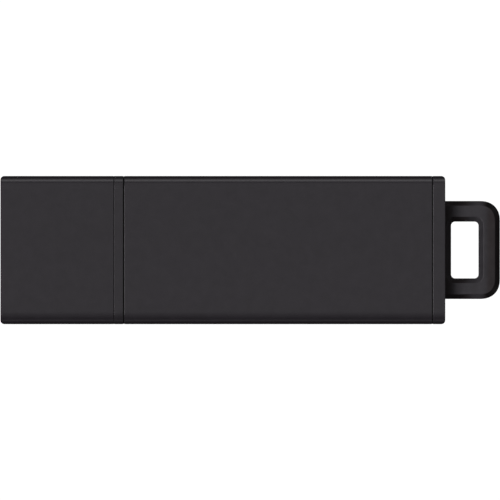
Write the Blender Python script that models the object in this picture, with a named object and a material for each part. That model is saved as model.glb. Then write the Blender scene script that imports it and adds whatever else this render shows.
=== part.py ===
"""Capped USB flash drive, modelled as the assembly that comes apart on a bench.

Units are metres, +Z is up, +X runs from the cap to the lanyard loop, and the origin is the centre
of the footprint on the bottom face. Front means -X and back means +X. Every length below is in
millimetres and is multiplied by MM where vertices or objects are placed.

  cap body     cap_shell, cap_liner; slides off along -X
  drive body   outer_sleeve, front_collar, rear_end_plate, lanyard_loop, carrier_lower,
               carrier_upper, usb_plug_shell, contact_insulator, four contacts, circuit_board
               and its components
"""

import math

import bmesh
import bpy
from mathutils import Matrix, Vector

MM = 0.001

# ---------------------------------------------------------------- driving dimensions
WIDTH = 20.0  # across Y
THICK = 9.0  # along Z
Z_MID = THICK / 2
EDGE_R = 1.75  # radius of the four long edges
PLAN_R = 0.53  # radius of the four upright corners, seen from above
WALL = 0.70  # aluminium wall
RIM_BREAK = 0.05  # smallest chamfer, on rims and end faces
FIT_INSET = WALL + 0.10  # from the outside to the skirts and the carrier, inside the sleeve

# stations along X, from front to back
X_CAP_END = -33.825
X_CAP_MOUTH = -18.485
X_COLLAR_FRONT = -18.425
X_COLLAR_BACK = -17.226
X_SLEEVE_FRONT = -17.056
X_SKIRT_END = -14.80  # collar skirt, inside the sleeve
X_PCB_BACK = 20.30
X_CARRIER_BACK = 22.50
X_SLEEVE_BACK = 24.670
X_PLATE_FRONT = 24.780
X_PLATE_BACK = 26.426
X_LOOP_END = 33.825

SPIGOT = 0.80  # length of the collar step that enters the cap
X_SPIGOT_FACE = X_COLLAR_FRONT - SPIGOT

# type A plug
PLUG_W, PLUG_H, PLUG_R = 12.0, 4.5, 0.45
PLUG_SHEET = 0.30
PLUG_REACH = 11.80  # past the spigot
PLUG_LENGTH = 18.70
PLUG_GAP = 0.10  # all round, in the collar and the liner
LEG_LENGTH = 2.0
X_PLUG_TIP = X_SPIGOT_FACE - PLUG_REACH
X_PLUG_BACK = X_PLUG_TIP + PLUG_LENGTH

# circuit board heights, and the pins that locate it
PCB_TOP, PCB_T = 4.15, 1.0
PCB_BOTTOM = PCB_TOP - PCB_T
PIN_X, PIN_Y, PIN_R = 17.5, 5.5, 0.65

# cross-sections: width along Y, height along Z, corner radius
BODY = (WIDTH, THICK, EDGE_R)
PLUG_APERTURE = (PLUG_W + 2 * PLUG_GAP, PLUG_H + 2 * PLUG_GAP, PLUG_R)

CORNER_SEGMENTS = 8
CUT_PAST = 1.0  # how far a cutter runs past the part it cuts

# mirrored features, in build order: label in the object's name, sign of Y
SIDES = (("r", -1), ("l", 1))


# ---------------------------------------------------------------- objects and modifiers
def clear_scene():
    for item in list(bpy.data.objects):
        bpy.data.objects.remove(item, do_unlink=True)


def link_shape(name, shape):
    """Turns a bmesh into an object in the scene."""
    bmesh.ops.recalc_face_normals(shape, faces=shape.faces)
    mesh = bpy.data.meshes.new(name)
    shape.to_mesh(mesh)
    shape.free()
    item = bpy.data.objects.new(name, mesh)
    bpy.context.scene.collection.objects.link(item)
    return item


def solid(name, shape, surface):
    """A visible piece: smooth shaded, with edges sharper than 30 degrees kept crisp."""
    piece = link_shape(name, shape)
    piece.data.materials.append(surface)
    piece.data.shade_smooth()
    piece.data.set_sharp_from_angle(angle=math.radians(30.0))
    return piece


def helper(name, shape):
    """A boolean operand, which is never part of the product."""
    item = link_shape(name, shape)
    item.hide_render = True
    item.display_type = "WIRE"
    return item


def add_boolean(piece, tool, operation):
    modifier = piece.modifiers.new(tool.name, "BOOLEAN")
    modifier.operation = operation
    modifier.solver = "EXACT"
    modifier.object = tool


def cut(piece, tool):
    add_boolean(piece, tool, "DIFFERENCE")


def join(piece, tool):
    add_boolean(piece, tool, "UNION")


# ---------------------------------------------------------------- outlines
def corner_arc(centre, radius, start, segments):
    """Points on a quarter circle that begins at start degrees."""
    points = []
    for i in range(segments + 1):
        angle = math.radians(start + 90 * i / segments)
        points.append((
            centre[0] + radius * math.cos(angle),
            centre[1] + radius * math.sin(angle),
        ))
    return points


# signs of the corner's two coordinates, and the angle its arc starts at
CORNERS = ((1, 1, 0), (-1, 1, 90), (-1, -1, 180), (1, -1, 270))


def rounded_outline(width, height, radius, segments, centre=(0.0, 0.0)):
    points = []
    for sign_across, sign_up, start in CORNERS:
        corner = (
            centre[0] + sign_across * (width / 2 - radius),
            centre[1] + sign_up * (height / 2 - radius),
        )
        points += corner_arc(corner, radius, start, segments)
    return points


def about(centre, size):
    """The span of the given size centred on a coordinate."""
    return centre - size / 2, centre + size / 2


# ---------------------------------------------------------------- mesh building
def add_vertices(shape, points):
    return [shape.verts.new(Vector(point) * MM) for point in points]


def level_ring(shape, outline, z):
    """Vertices at one height from an (x, y) outline."""
    return add_vertices(shape, [(x, y, z) for x, y in outline])


def bridge(shape, first, second):
    count = len(first)
    for i in range(count):
        after = (i + 1) % count
        shape.faces.new((first[i], first[after], second[after], second[i]))


def loft(shape, rings, closed=False):
    """Joins rings in order. closed joins last to first, otherwise both ends are filled."""
    for first, second in zip(rings, rings[1:]):
        bridge(shape, first, second)
    if closed:
        bridge(shape, rings[-1], rings[0])
    else:
        shape.faces.new(list(reversed(rings[0])))
        shape.faces.new(rings[-1])


def section(x, profile, inset=0.0):
    """A station for station_solid: a (width, height, radius) profile at x, inset all round."""
    width, height, radius = profile
    return x, width - 2 * inset, height - 2 * inset, radius - inset


def station_ring(shape, segments, x, width, height, radius, y_limit=WIDTH):
    """Rounded rectangle across X. Points past |y| = y_limit are pulled in to it."""
    outline = rounded_outline(width, height, radius, segments, centre=(0.0, Z_MID))
    points = [(x, max(-y_limit, min(y_limit, y)), z) for y, z in outline]
    return add_vertices(shape, points)


def station_solid(name, stations, surface, segments=CORNER_SEGMENTS, closed=True):
    """Loft through stations of (x, width, height, radius), with an optional y limit."""
    shape = bmesh.new()
    rings = [station_ring(shape, segments, *station) for station in stations]
    loft(shape, rings, closed)
    return solid(name, shape, surface)


def prism(shape, outline, axis, low, high):
    """Extrudes along axis. Outlines are (y, z) for "X", (x, z) for "Y" and (x, y) for "Z"."""
    order = {"X": (2, 0, 1), "Y": (0, 2, 1), "Z": (0, 1, 2)}[axis]
    rings = []
    for offset in (low, high):
        points = [[(*point, offset)[i] for i in order] for point in outline]
        rings.append(add_vertices(shape, points))
    loft(shape, rings)


def prism_solid(name, outline, axis, low, high, surface):
    shape = bmesh.new()
    prism(shape, outline, axis, low, high)
    return solid(name, shape, surface)


def box(shape, x_span, y_span, z_span):
    corners = add_vertices(shape, [(x, y, z) for x in x_span for y in y_span for z in z_span])
    sides = ((0, 1, 3, 2), (4, 6, 7, 5), (0, 4, 5, 1), (2, 3, 7, 6), (0, 2, 6, 4), (1, 5, 7, 3))
    for side in sides:
        shape.faces.new([corners[i] for i in side])


def helper_box(name, x_span, y_span, z_span):
    shape = bmesh.new()
    box(shape, x_span, y_span, z_span)
    return helper(name, shape)


def helper_cylinder(name, x, y, z_span, radius, segments=24):
    """Upright cylinder."""
    z_low, z_high = z_span
    shape = bmesh.new()
    bmesh.ops.create_cone(
        shape,
        cap_ends=True,
        segments=segments,
        radius1=radius * MM,
        radius2=radius * MM,
        depth=(z_high - z_low) * MM,
        matrix=Matrix.Translation(Vector((x, y, (z_low + z_high) / 2)) * MM),
    )
    return helper(name, shape)


# ---------------------------------------------------------------- materials
def material(name, colour, roughness, metallic=0.0):
    """colour is linear RGB. A second run in the same file reuses the material."""
    found = bpy.data.materials.get(name)
    if found:
        return found
    made = bpy.data.materials.new(name)
    made.use_nodes = True
    shader = made.node_tree.nodes["Principled BSDF"]
    shader.inputs["Base Color"].default_value = (*colour, 1.0)
    shader.inputs["Roughness"].default_value = roughness
    shader.inputs["Metallic"].default_value = metallic
    made.diffuse_color = (*colour, 1.0)
    return made


ANODISED = material(
    "anodised_black", colour=(0.036, 0.033, 0.037), roughness=0.55, metallic=0.4
)
COLLAR_PLASTIC = material("collar_black", colour=(0.036, 0.034, 0.037), roughness=0.6)
GLOSS_PLASTIC = material("gloss_black", colour=(0.012, 0.011, 0.012), roughness=0.22)
LINER_PLASTIC = material("liner_black", colour=(0.02, 0.02, 0.021), roughness=0.5)
CARRIER_PLASTIC = material("carrier_black", colour=(0.03, 0.03, 0.032), roughness=0.55)
PLATED_STEEL = material(
    "plated_steel", colour=(0.72, 0.71, 0.69), roughness=0.25, metallic=1.0
)
INSULATOR_PLASTIC = material("insulator_white", colour=(0.80, 0.79, 0.75), roughness=0.45)
GOLD = material("contact_gold", colour=(0.86, 0.63, 0.28), roughness=0.22, metallic=1.0)
BOARD_GREEN = material("board_green", colour=(0.02, 0.14, 0.05), roughness=0.4)
CHIP_EPOXY = material("chip_epoxy", colour=(0.022, 0.022, 0.024), roughness=0.6)
CAN_STEEL = material("can_steel", colour=(0.66, 0.66, 0.64), roughness=0.3, metallic=1.0)
CAPACITOR_TAN = material("capacitor_tan", colour=(0.42, 0.27, 0.15), roughness=0.5)
RESISTOR_BLACK = material("resistor_black", colour=(0.02, 0.02, 0.03), roughness=0.35)
FERRITE_GREY = material("ferrite_grey", colour=(0.09, 0.09, 0.1), roughness=0.55)
FUSE_GREEN = material("fuse_green", colour=(0.03, 0.18, 0.1), roughness=0.45)


# ---------------------------------------------------------------- cap shell and sleeve
CAP_END_WALL = 0.65
CAP_MOUTH_CHAMFER = 0.10  # inside edge of the mouth
SLEEVE_CHAMFER = 0.10  # front rim; the back rim has half of it
PLAN_STEPS = 4  # segments in each upright corner


def end_stations(x_end, inward):
    """From an end face round its upright corners to the straight sides. inward is +1 or -1."""
    y_straight = WIDTH / 2 - PLAN_R  # where the corners begin
    stations = [(*section(x_end, BODY, RIM_BREAK), y_straight - RIM_BREAK / 2)]
    for i in range(PLAN_STEPS, -1, -1):
        angle = math.radians(90 * i / PLAN_STEPS)
        x = x_end + inward * max(PLAN_R * (1 - math.sin(angle)), RIM_BREAK)
        stations.append((*section(x, BODY), y_straight + PLAN_R * math.cos(angle)))
    return stations


def make_cap_shell():
    """Closed at the front; the loft turns in at the mouth and ends on the inner end face."""
    stations = end_stations(X_CAP_END, inward=+1) + [
        section(X_CAP_MOUTH - RIM_BREAK, BODY),
        section(X_CAP_MOUTH, BODY, RIM_BREAK),
        section(X_CAP_MOUTH, BODY, WALL - CAP_MOUTH_CHAMFER),
        section(X_CAP_MOUTH - CAP_MOUTH_CHAMFER, BODY, WALL),
        section(X_CAP_END + CAP_END_WALL, BODY, WALL),
    ]
    return station_solid("cap_shell", stations, ANODISED, closed=False)


def make_sleeve():
    """Aluminium tube, open at both ends."""
    stations = [
        section(X_SLEEVE_FRONT, BODY, SLEEVE_CHAMFER),
        section(X_SLEEVE_FRONT + SLEEVE_CHAMFER, BODY),
        section(X_SLEEVE_BACK - SLEEVE_CHAMFER / 2, BODY),
        section(X_SLEEVE_BACK, BODY, SLEEVE_CHAMFER / 2),
        section(X_SLEEVE_BACK, BODY, WALL),
        section(X_SLEEVE_FRONT, BODY, WALL),
    ]
    return station_solid("outer_sleeve", stations, ANODISED)


# ---------------------------------------------------------------- cap liner
LINER_GAP = 0.08  # to the cap shell, round the sides and at the end
LINER_SETBACK = 0.16  # from the mouth, beyond the spigot's length
LINER_CHAMFER = 0.15
LINER_OUTSIDE = (
    WIDTH - 2 * WALL - 2 * LINER_GAP,
    THICK - 2 * WALL - 2 * LINER_GAP,
    0.95,
)
LINER_LEAD_IN, LINER_LEAD_IN_DEPTH = 0.35, 0.5  # funnel at the slot's mouth
X_LINER_END = X_CAP_END + CAP_END_WALL + LINER_GAP
X_LINER_MOUTH = X_CAP_MOUTH - SPIGOT - LINER_SETBACK

POCKET_Y, POCKET_W, POCKET_H, POCKET_R = 7.85, 1.7, 4.4, 0.35
POCKET_SEGMENTS = 3
POCKET_FLOOR = 1.2  # liner left at the closed end

RIB_Y, RIB_W = 4.4, 0.8
RIB_PROUD, RIB_ROOT = 0.06, 0.3  # into the slot, and sunk into the liner
RIB_FROM_END, RIB_FROM_MOUTH = 1.6, 1.4


def make_liner_pocket(label, side):
    """Cutter for a cored pocket beside the plug slot, open at the mouth."""
    outline = rounded_outline(
        POCKET_W, POCKET_H, POCKET_R, POCKET_SEGMENTS, centre=(side * POCKET_Y, Z_MID)
    )
    shape = bmesh.new()
    prism(shape, outline, "X", X_LINER_END + POCKET_FLOOR, X_LINER_MOUTH + CUT_PAST)
    return helper(f"cut_liner_pocket_{label}", shape)


def make_liner_ribs():
    """Four grip ribs, proud of the slot's upper and lower faces."""
    slot_half = PLUG_APERTURE[1] / 2
    x_span = (X_LINER_END + RIB_FROM_END, X_LINER_MOUTH - RIB_FROM_MOUTH)
    shape = bmesh.new()
    for y in (-RIB_Y, RIB_Y):
        for face in (1, -1):
            z_root = Z_MID + face * (slot_half + RIB_ROOT)
            z_crest = Z_MID + face * (slot_half - RIB_PROUD)
            box(shape, x_span, about(y, RIB_W), sorted((z_root, z_crest)))
    return helper("add_liner_ribs", shape)


def make_cap_liner():
    """Moulded insert that grips the plug. The plug slot runs right through."""
    stations = [
        section(X_LINER_END, LINER_OUTSIDE),
        section(X_LINER_MOUTH - LINER_CHAMFER, LINER_OUTSIDE),
        section(X_LINER_MOUTH, LINER_OUTSIDE, LINER_CHAMFER),
        section(X_LINER_MOUTH, PLUG_APERTURE, -LINER_LEAD_IN),
        section(X_LINER_MOUTH - LINER_LEAD_IN_DEPTH, PLUG_APERTURE),
        section(X_LINER_END, PLUG_APERTURE),
    ]
    piece = station_solid("cap_liner", stations, LINER_PLASTIC)
    for label, side in SIDES:
        cut(piece, make_liner_pocket(label, side))
    join(piece, make_liner_ribs())
    return piece


# ---------------------------------------------------------------- front collar
SPIGOT_INSET = WALL + 0.15
SPIGOT_CHAMFER = 0.15
COLLAR_ROUND = 0.25  # front edge of the flange, in two facets
COLLAR_FACET = COLLAR_ROUND * 0.3
SKIRT_WALL = 0.90
SKIRT_BORE = (
    WIDTH - 2 * FIT_INSET - 2 * SKIRT_WALL,
    THICK - 2 * FIT_INSET - 2 * SKIRT_WALL,
    0.5,
)


def make_collar():
    """Front bezel: spigot that enters the cap, flange flush with the sleeve, skirt inside it."""
    stations = [
        section(X_SPIGOT_FACE, PLUG_APERTURE),
        section(X_SPIGOT_FACE, BODY, SPIGOT_INSET + SPIGOT_CHAMFER),
        section(X_SPIGOT_FACE + SPIGOT_CHAMFER, BODY, SPIGOT_INSET),
        section(X_COLLAR_FRONT, BODY, SPIGOT_INSET),
        section(X_COLLAR_FRONT, BODY, COLLAR_ROUND),
        section(X_COLLAR_FRONT + COLLAR_FACET, BODY, COLLAR_FACET),
        section(X_COLLAR_FRONT + COLLAR_ROUND, BODY),
        section(X_COLLAR_BACK - RIM_BREAK, BODY),
        section(X_COLLAR_BACK, BODY, RIM_BREAK),
        section(X_COLLAR_BACK, BODY, FIT_INSET),
        section(X_SKIRT_END, BODY, FIT_INSET),
        section(X_SKIRT_END, SKIRT_BORE),
        section(X_COLLAR_BACK, SKIRT_BORE),
        section(X_COLLAR_BACK, PLUG_APERTURE),
    ]
    return station_solid("front_collar", stations, COLLAR_PLASTIC)


# ---------------------------------------------------------------- lanyard loop dimensions
LOOP_HALF_Y, LOOP_T = 6.607, 3.60
LOOP_FRONT_R, LOOP_BACK_R = 0.1, 2.39
LOOP_MIN_R = 0.02  # least corner radius left by an inset
LOOP_STEM = 0.60  # from the end plate's front face forwards
HOLE_X0, HOLE_X1, HOLE_HALF_Y, HOLE_R = 27.204, 30.989, 3.881, 0.545
BEVEL_ACROSS, BEVEL_DEEP = 0.62, 0.92  # in the XY plane, and along Z

FLANGE_HALF_Y, FLANGE_HALF_Z = 7.6, 2.35
FLANGE_CARRIER_GAP, FLANGE_PLATE_GAP = 0.15, 0.10


# ---------------------------------------------------------------- rear end plate
LOOP_SLOT_GAP = 0.09
LOOP_SLOT = (2 * (LOOP_HALF_Y + LOOP_SLOT_GAP), LOOP_T + 2 * LOOP_SLOT_GAP, 0.2)
FLANGE_POCKET = (16.0, 5.4, 0.4)
PLATE_CHAMFER = 0.12
X_PLATE_SKIRT = X_CARRIER_BACK + 0.10


def make_rear_plate():
    """Flange flush with the sleeve, skirt inside it, and the slot the loop comes out of."""
    stations = [
        section(X_PLATE_BACK, LOOP_SLOT),
        section(X_PLATE_FRONT, LOOP_SLOT),
        section(X_PLATE_FRONT, FLANGE_POCKET),
        section(X_PLATE_SKIRT, FLANGE_POCKET),
        section(X_PLATE_SKIRT, BODY, FIT_INSET),
        section(X_PLATE_FRONT, BODY, FIT_INSET),
        section(X_PLATE_FRONT, BODY, PLATE_CHAMFER),
        section(X_PLATE_FRONT + PLATE_CHAMFER, BODY),
    ]
    stations += reversed(end_stations(X_PLATE_BACK, inward=-1))
    return station_solid("rear_end_plate", stations, COLLAR_PLASTIC)


# ---------------------------------------------------------------- lanyard loop
def loop_outline(x_front, x_back, half_y, front_radius, back_radius, inset):
    """(x, y) points round a rectangle, inset all round, with a radius for each end's corners."""
    x_front, x_back, half_y = x_front + inset, x_back - inset, half_y - inset
    points = []
    for sign_x, sign_y, start in CORNERS:
        at_back = sign_x > 0
        radius = max((back_radius if at_back else front_radius) - inset, LOOP_MIN_R)
        centre_x = x_back - radius if at_back else x_front + radius
        centre = (centre_x, sign_y * (half_y - radius))
        points += corner_arc(centre, radius, start, CORNER_SEGMENTS)
    return points


def loop_outside(inset):
    """The front end is not inset."""
    x_front = X_PLATE_FRONT - LOOP_STEM - inset
    return loop_outline(
        x_front, X_LOOP_END, LOOP_HALF_Y, LOOP_FRONT_R, LOOP_BACK_R, inset
    )


def loop_hole(inset):
    return loop_outline(HOLE_X0, HOLE_X1, HOLE_HALF_Y, HOLE_R, HOLE_R, inset)


def make_loop():
    """Closed bevelled frame, its stem through the end plate, and a wider flange at the front."""
    z_low, z_high = about(Z_MID, LOOP_T)
    sections = (
        (loop_outside(BEVEL_ACROSS), z_low),
        (loop_outside(0.0), z_low + BEVEL_DEEP),
        (loop_outside(0.0), z_high - BEVEL_DEEP),
        (loop_outside(BEVEL_ACROSS), z_high),
        (loop_hole(-BEVEL_ACROSS), z_high),
        (loop_hole(0.0), z_high - BEVEL_DEEP),
        (loop_hole(0.0), z_low + BEVEL_DEEP),
        (loop_hole(-BEVEL_ACROSS), z_low),
    )
    shape = bmesh.new()
    loft(shape, [level_ring(shape, outline, z) for outline, z in sections], closed=True)
    piece = solid("lanyard_loop", shape, GLOSS_PLASTIC)
    flange = helper_box(
        "add_loop_flange",
        (X_CARRIER_BACK + FLANGE_CARRIER_GAP, X_PLATE_FRONT - FLANGE_PLATE_GAP),
        (-FLANGE_HALF_Y, FLANGE_HALF_Y),
        (Z_MID - FLANGE_HALF_Z, Z_MID + FLANGE_HALF_Z),
    )
    join(piece, flange)
    return piece


# ---------------------------------------------------------------- plug shell
PLUG_SEGMENTS = 5
PLUG_TAPER_LENGTH = 0.35
PLUG_OUTSIDE = (PLUG_W, PLUG_H, PLUG_R)
PLUG_TIP = (PLUG_W - 0.3, PLUG_H - 0.3, PLUG_R - 0.1)
PLUG_BORE = (PLUG_W - 2 * PLUG_SHEET, PLUG_H - 2 * PLUG_SHEET, PLUG_R - PLUG_SHEET + 0.05)

WINDOW_X, WINDOW_Y = 2.0, 2.5
WINDOW_FROM_TIP, WINDOW_OFFSET = 6.20, 2.90  # to the window's centre, along X and Y
WINDOW_CUT_HEIGHT = 1.2

LEG_OVERLAP = 0.8  # length inside the shell
LEG_SIDE_INSET = 0.02  # from both faces of the sheet
LEG_Z = (2.75, 4.75)


def cut_windows(piece):
    x_span = about(X_PLUG_TIP + WINDOW_FROM_TIP, WINDOW_X)
    for label, side in SIDES:
        y_span = about(side * WINDOW_OFFSET, WINDOW_Y)
        for face, sign in (("top", 1), ("bottom", -1)):
            z_span = about(Z_MID + sign * PLUG_H / 2, WINDOW_CUT_HEIGHT)
            cut(piece, helper_box(f"cut_window_{face}_{label}", x_span, y_span, z_span))


def add_legs(piece):
    x_span = (X_PLUG_BACK - LEG_OVERLAP, X_PLUG_BACK + LEG_LENGTH)
    y_inner = PLUG_W / 2 - PLUG_SHEET + LEG_SIDE_INSET
    y_outer = PLUG_W / 2 - LEG_SIDE_INSET
    for label, side in SIDES:
        y_span = sorted((side * y_inner, side * y_outer))
        join(piece, helper_box(f"add_leg_{label}", x_span, y_span, LEG_Z))


def make_plug_shell():
    """Folded steel shell: two windows above, two below, two legs back into the board's notches."""
    stations = [
        section(X_PLUG_TIP, PLUG_TIP),
        section(X_PLUG_TIP + PLUG_TAPER_LENGTH, PLUG_OUTSIDE),
        section(X_PLUG_BACK, PLUG_OUTSIDE),
        section(X_PLUG_BACK, PLUG_BORE),
        section(X_PLUG_TIP, PLUG_BORE),
    ]
    piece = station_solid("usb_plug_shell", stations, PLATED_STEEL, segments=PLUG_SEGMENTS)
    cut_windows(piece)
    add_legs(piece)
    return piece


# ---------------------------------------------------------------- insulator and contacts
INSULATOR_W = 11.30
INSULATOR_GAP = 0.05  # to the shell, above and below
MOUTH_DEPTH = 8.95  # plug tip to the root block
ROOT_END = 13.20  # plug tip to the back of the root block

CONTACT_TOP = Z_MID  # upper face of the tongue
CONTACT_W, CONTACT_T = 1.0, 0.30
CONTACT_END = 15.60  # from the plug tip
CONTACT_SUNK = 0.02  # below the tongue's upper face
CHANNEL_GAP = 0.05
CHANNEL_ABOVE = 0.06  # channel cutter above the tongue

# name, y, start measured from the plug tip
CONTACTS = (
    ("contact_vbus", 3.5, 1.25),
    ("contact_data_minus", 1.0, 2.25),
    ("contact_data_plus", -1.0, 2.25),
    ("contact_ground", -3.5, 1.25),
)


def make_insulator():
    """Tongue that carries the contacts, and the full-height root block that closes the mouth."""
    z_low = Z_MID - PLUG_H / 2 + PLUG_SHEET + INSULATOR_GAP
    z_high = Z_MID + PLUG_H / 2 - PLUG_SHEET - INSULATOR_GAP
    # side view: distance from the plug tip, z
    side_view = (
        (0.65, z_low),
        (ROOT_END, z_low),
        (ROOT_END, z_high),
        (MOUTH_DEPTH, z_high),
        (MOUTH_DEPTH, CONTACT_TOP),
        (0.75, CONTACT_TOP),
        (0.40, CONTACT_TOP - 0.35),
        (0.40, z_low + 0.25),
    )
    outline = [(X_PLUG_TIP + along, z) for along, z in side_view]
    piece = prism_solid(
        "contact_insulator", outline, "Y", -INSULATOR_W / 2, INSULATOR_W / 2, INSULATOR_PLASTIC
    )
    shape = bmesh.new()
    for _, y, start in CONTACTS:
        box(
            shape,
            (X_PLUG_TIP + start - CHANNEL_GAP, X_PLUG_TIP + ROOT_END + CUT_PAST),
            about(y, CONTACT_W + 2 * CHANNEL_GAP),
            (CONTACT_TOP - CONTACT_T - CHANNEL_GAP, CONTACT_TOP + CHANNEL_ABOVE),
        )
    cut(piece, helper("cut_contact_channels", shape))
    return piece


def make_contact(name, y, start):
    """Flat gold strip, sunk in the tongue, whose tail lies over the front of the board."""
    x_front, x_back = X_PLUG_TIP + start, X_PLUG_TIP + CONTACT_END
    z_top = CONTACT_TOP - CONTACT_SUNK
    z_low = z_top - CONTACT_T
    # side view (x, z), with the upper front edge eased down
    outline = [
        (x_front, z_low),
        (x_back, z_low),
        (x_back, z_top),
        (x_front + 0.35, z_top),
        (x_front + 0.1, z_top - 0.08),
        (x_front, z_top - 0.2),
    ]
    return prism_solid(name, outline, "Y", *about(y, CONTACT_W), GOLD)


# ---------------------------------------------------------------- circuit board
PCB_W, PCB_TONGUE_W = 15.6, 11.0
PCB_CHAMFER = 0.6
PCB_HOLE_R = 0.80
X_PCB_FRONT = X_PLUG_TIP + 13.40
X_PCB_STEP = X_PLUG_BACK + 0.20  # where the tongue meets the full width
NOTCH_OUTER_Y = 6.20
X_NOTCH_END = X_PLUG_BACK + LEG_LENGTH + 0.15


def make_board():
    """Narrow front tongue, a notch either side of it for the plug's legs, and two pin holes."""
    half, tongue = PCB_W / 2, PCB_TONGUE_W / 2
    # +Y half of the plan (x, y), front to back; the notch's inner side continues the tongue's
    half_outline = [
        (X_PCB_FRONT, tongue),
        (X_PCB_STEP, tongue),
        (X_NOTCH_END, tongue),
        (X_NOTCH_END, NOTCH_OUTER_Y),
        (X_PCB_STEP, NOTCH_OUTER_Y),
        (X_PCB_STEP, half - PCB_CHAMFER),
        (X_PCB_STEP + PCB_CHAMFER, half),
        (X_PCB_BACK - PCB_CHAMFER, half),
        (X_PCB_BACK, half - PCB_CHAMFER),
    ]
    outline = half_outline + [(x, -y) for x, y in reversed(half_outline)]
    piece = prism_solid("circuit_board", outline, "Z", PCB_BOTTOM, PCB_TOP, BOARD_GREEN)
    z_span = (PCB_BOTTOM - CUT_PAST, PCB_TOP + CUT_PAST)
    for label, side in SIDES:
        name = f"cut_board_hole_{label}"
        cut(piece, helper_cylinder(name, PIN_X, side * PIN_Y, z_span, PCB_HOLE_R))
    return piece


# ---------------------------------------------------------------- chips with leads
BOARD_GAP = 0.03  # between the board and the components
Z_ABOVE = PCB_TOP + BOARD_GAP
Z_BELOW = PCB_BOTTOM - BOARD_GAP

LEAD_ROOT = 0.25  # length inside the body
LEAD_RISE = 0.003  # lead's centre from the body's mid height, away from the board

# reach is from the body's edge to the lead's end, foot is the flat part at that end
FLASH_LEAD = dict(reach=0.8, foot=0.5, thickness=0.13, width=0.22)
CONTROLLER_LEAD = dict(reach=0.9, foot=0.55, thickness=0.13, width=0.22)
REGULATOR_LEAD = dict(reach=0.55, foot=0.3, thickness=0.12, width=0.4)
LEAD_PITCH = 0.5  # of the memory and controller chips


def lead_offsets(count):
    return [(i - (count - 1) / 2) * LEAD_PITCH for i in range(count)]


def gull_lead(shape, start, direction, z_body, z_foot, *, reach, foot, thickness, width):
    """Leaves the body level, bends to the board and ends flat. direction is a unit (x, y)."""
    outward = Vector((*direction, 0))
    across = Vector((-outward.y, outward.x, 0))
    origin = Vector((*start, 0))
    to_board = 1 if z_foot > z_body else -1
    bend = reach - foot
    z_far = z_body - to_board * thickness / 2  # face away from the board
    z_near = z_body + to_board * thickness / 2
    z_foot_far = z_foot - to_board * thickness
    # distance out from the body's edge, z
    profile = (
        (-LEAD_ROOT, z_far),
        (bend - thickness * 0.4, z_far),
        (bend + thickness * 0.35, z_foot_far),
        (reach, z_foot_far),
        (reach, z_foot),
        (bend - thickness * 0.1, z_foot),
        (bend - thickness * 0.9, z_near),
        (-LEAD_ROOT, z_near),
    )
    rings = []
    for offset in (-width / 2, width / 2):
        points = [
            origin + outward * distance + across * offset + Vector((0, 0, z))
            for distance, z in profile
        ]
        rings.append(add_vertices(shape, points))
    loft(shape, rings)


def chip_body(name, x_span, y_span, z_span, draft=0.08):
    """Moulded package: widest at its mid height, with drafted sides."""
    (x0, x1), (y0, y1), (z0, z1) = x_span, y_span, z_span
    shape = bmesh.new()
    rings = []
    for z, inset in ((z0, draft), ((z0 + z1) / 2, 0.0), (z1, draft)):
        outline = (
            (x0 + inset, y0 + inset),
            (x1 - inset, y0 + inset),
            (x1 - inset, y1 - inset),
            (x0 + inset, y1 - inset),
        )
        rings.append(level_ring(shape, outline, z))
    loft(shape, rings)
    return solid(name, shape, CHIP_EPOXY)


def add_leads(piece, name, leads, z_body, z_foot, size):
    """leads is a list of (start point, direction)."""
    shape = bmesh.new()
    for start, direction in leads:
        gull_lead(shape, start, direction, z_body, z_foot, **size)
    join(piece, helper(name, shape))


def make_flash_chip():
    """Thin 48-lead memory package on top of the board, with its leads on the two short ends."""
    x_front, x_back, half_y = -8.2, 10.2, 6.0
    z_low, z_high = Z_ABOVE + 0.12, Z_ABOVE + 1.12
    piece = chip_body(
        "flash_memory_chip", (x_front, x_back), (-half_y, half_y), (z_low, z_high)
    )
    leads = []
    for y in lead_offsets(24):
        leads += [((x_front, y), (-1, 0)), ((x_back, y), (1, 0))]
    z_body = (z_low + z_high) / 2 + LEAD_RISE
    add_leads(piece, "add_flash_leads", leads, z_body, Z_ABOVE, FLASH_LEAD)
    return piece


def make_controller():
    """48-lead square package under the board, with its leads on all four sides."""
    centre_x, half = -5.5, 3.5
    z_low, z_high = Z_BELOW - 1.10, Z_BELOW - 0.10
    x_front, x_back = centre_x - half, centre_x + half
    piece = chip_body("controller_chip", (x_front, x_back), (-half, half), (z_low, z_high))
    leads = []
    for offset in lead_offsets(12):
        leads += [
            ((x_front, offset), (-1, 0)),
            ((x_back, offset), (1, 0)),
            ((centre_x + offset, -half), (0, -1)),
            ((centre_x + offset, half), (0, 1)),
        ]
    z_body = (z_low + z_high) / 2 - LEAD_RISE
    add_leads(piece, "add_controller_leads", leads, z_body, Z_BELOW, CONTROLLER_LEAD)
    return piece


def make_regulator():
    """Three-lead regulator on top of the board, behind the memory chip."""
    x_front, x_back = 13.0, 14.3
    y_span = (1.2, 4.1)
    z_low, z_high = Z_ABOVE + 0.08, Z_ABOVE + 1.0
    piece = chip_body(
        "voltage_regulator", (x_front, x_back), y_span, (z_low, z_high), draft=0.06
    )
    leads = [((x_front, 1.7), (-1, 0)), ((x_front, 3.6), (-1, 0)), ((x_back, 2.65), (1, 0))]
    z_body = (z_low + z_high) / 2 + LEAD_RISE
    add_leads(piece, "add_regulator_leads", leads, z_body, Z_ABOVE, REGULATOR_LEAD)
    return piece


# ---------------------------------------------------------------- crystal
CRYSTAL_CENTRE = (4.2, 0.0)
CRYSTAL_SEGMENTS = 4

# length along X, width along Y, corner radius, depth below the board's gap
CRYSTAL_SECTIONS = (
    (5.0, 3.2, 0.4, 0.0),
    (5.0, 3.2, 0.4, 0.30),
    (4.6, 2.8, 0.5, 0.30),
    (4.6, 2.8, 0.5, 0.95),
    (4.4, 2.6, 0.4, 1.05),
)


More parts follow.
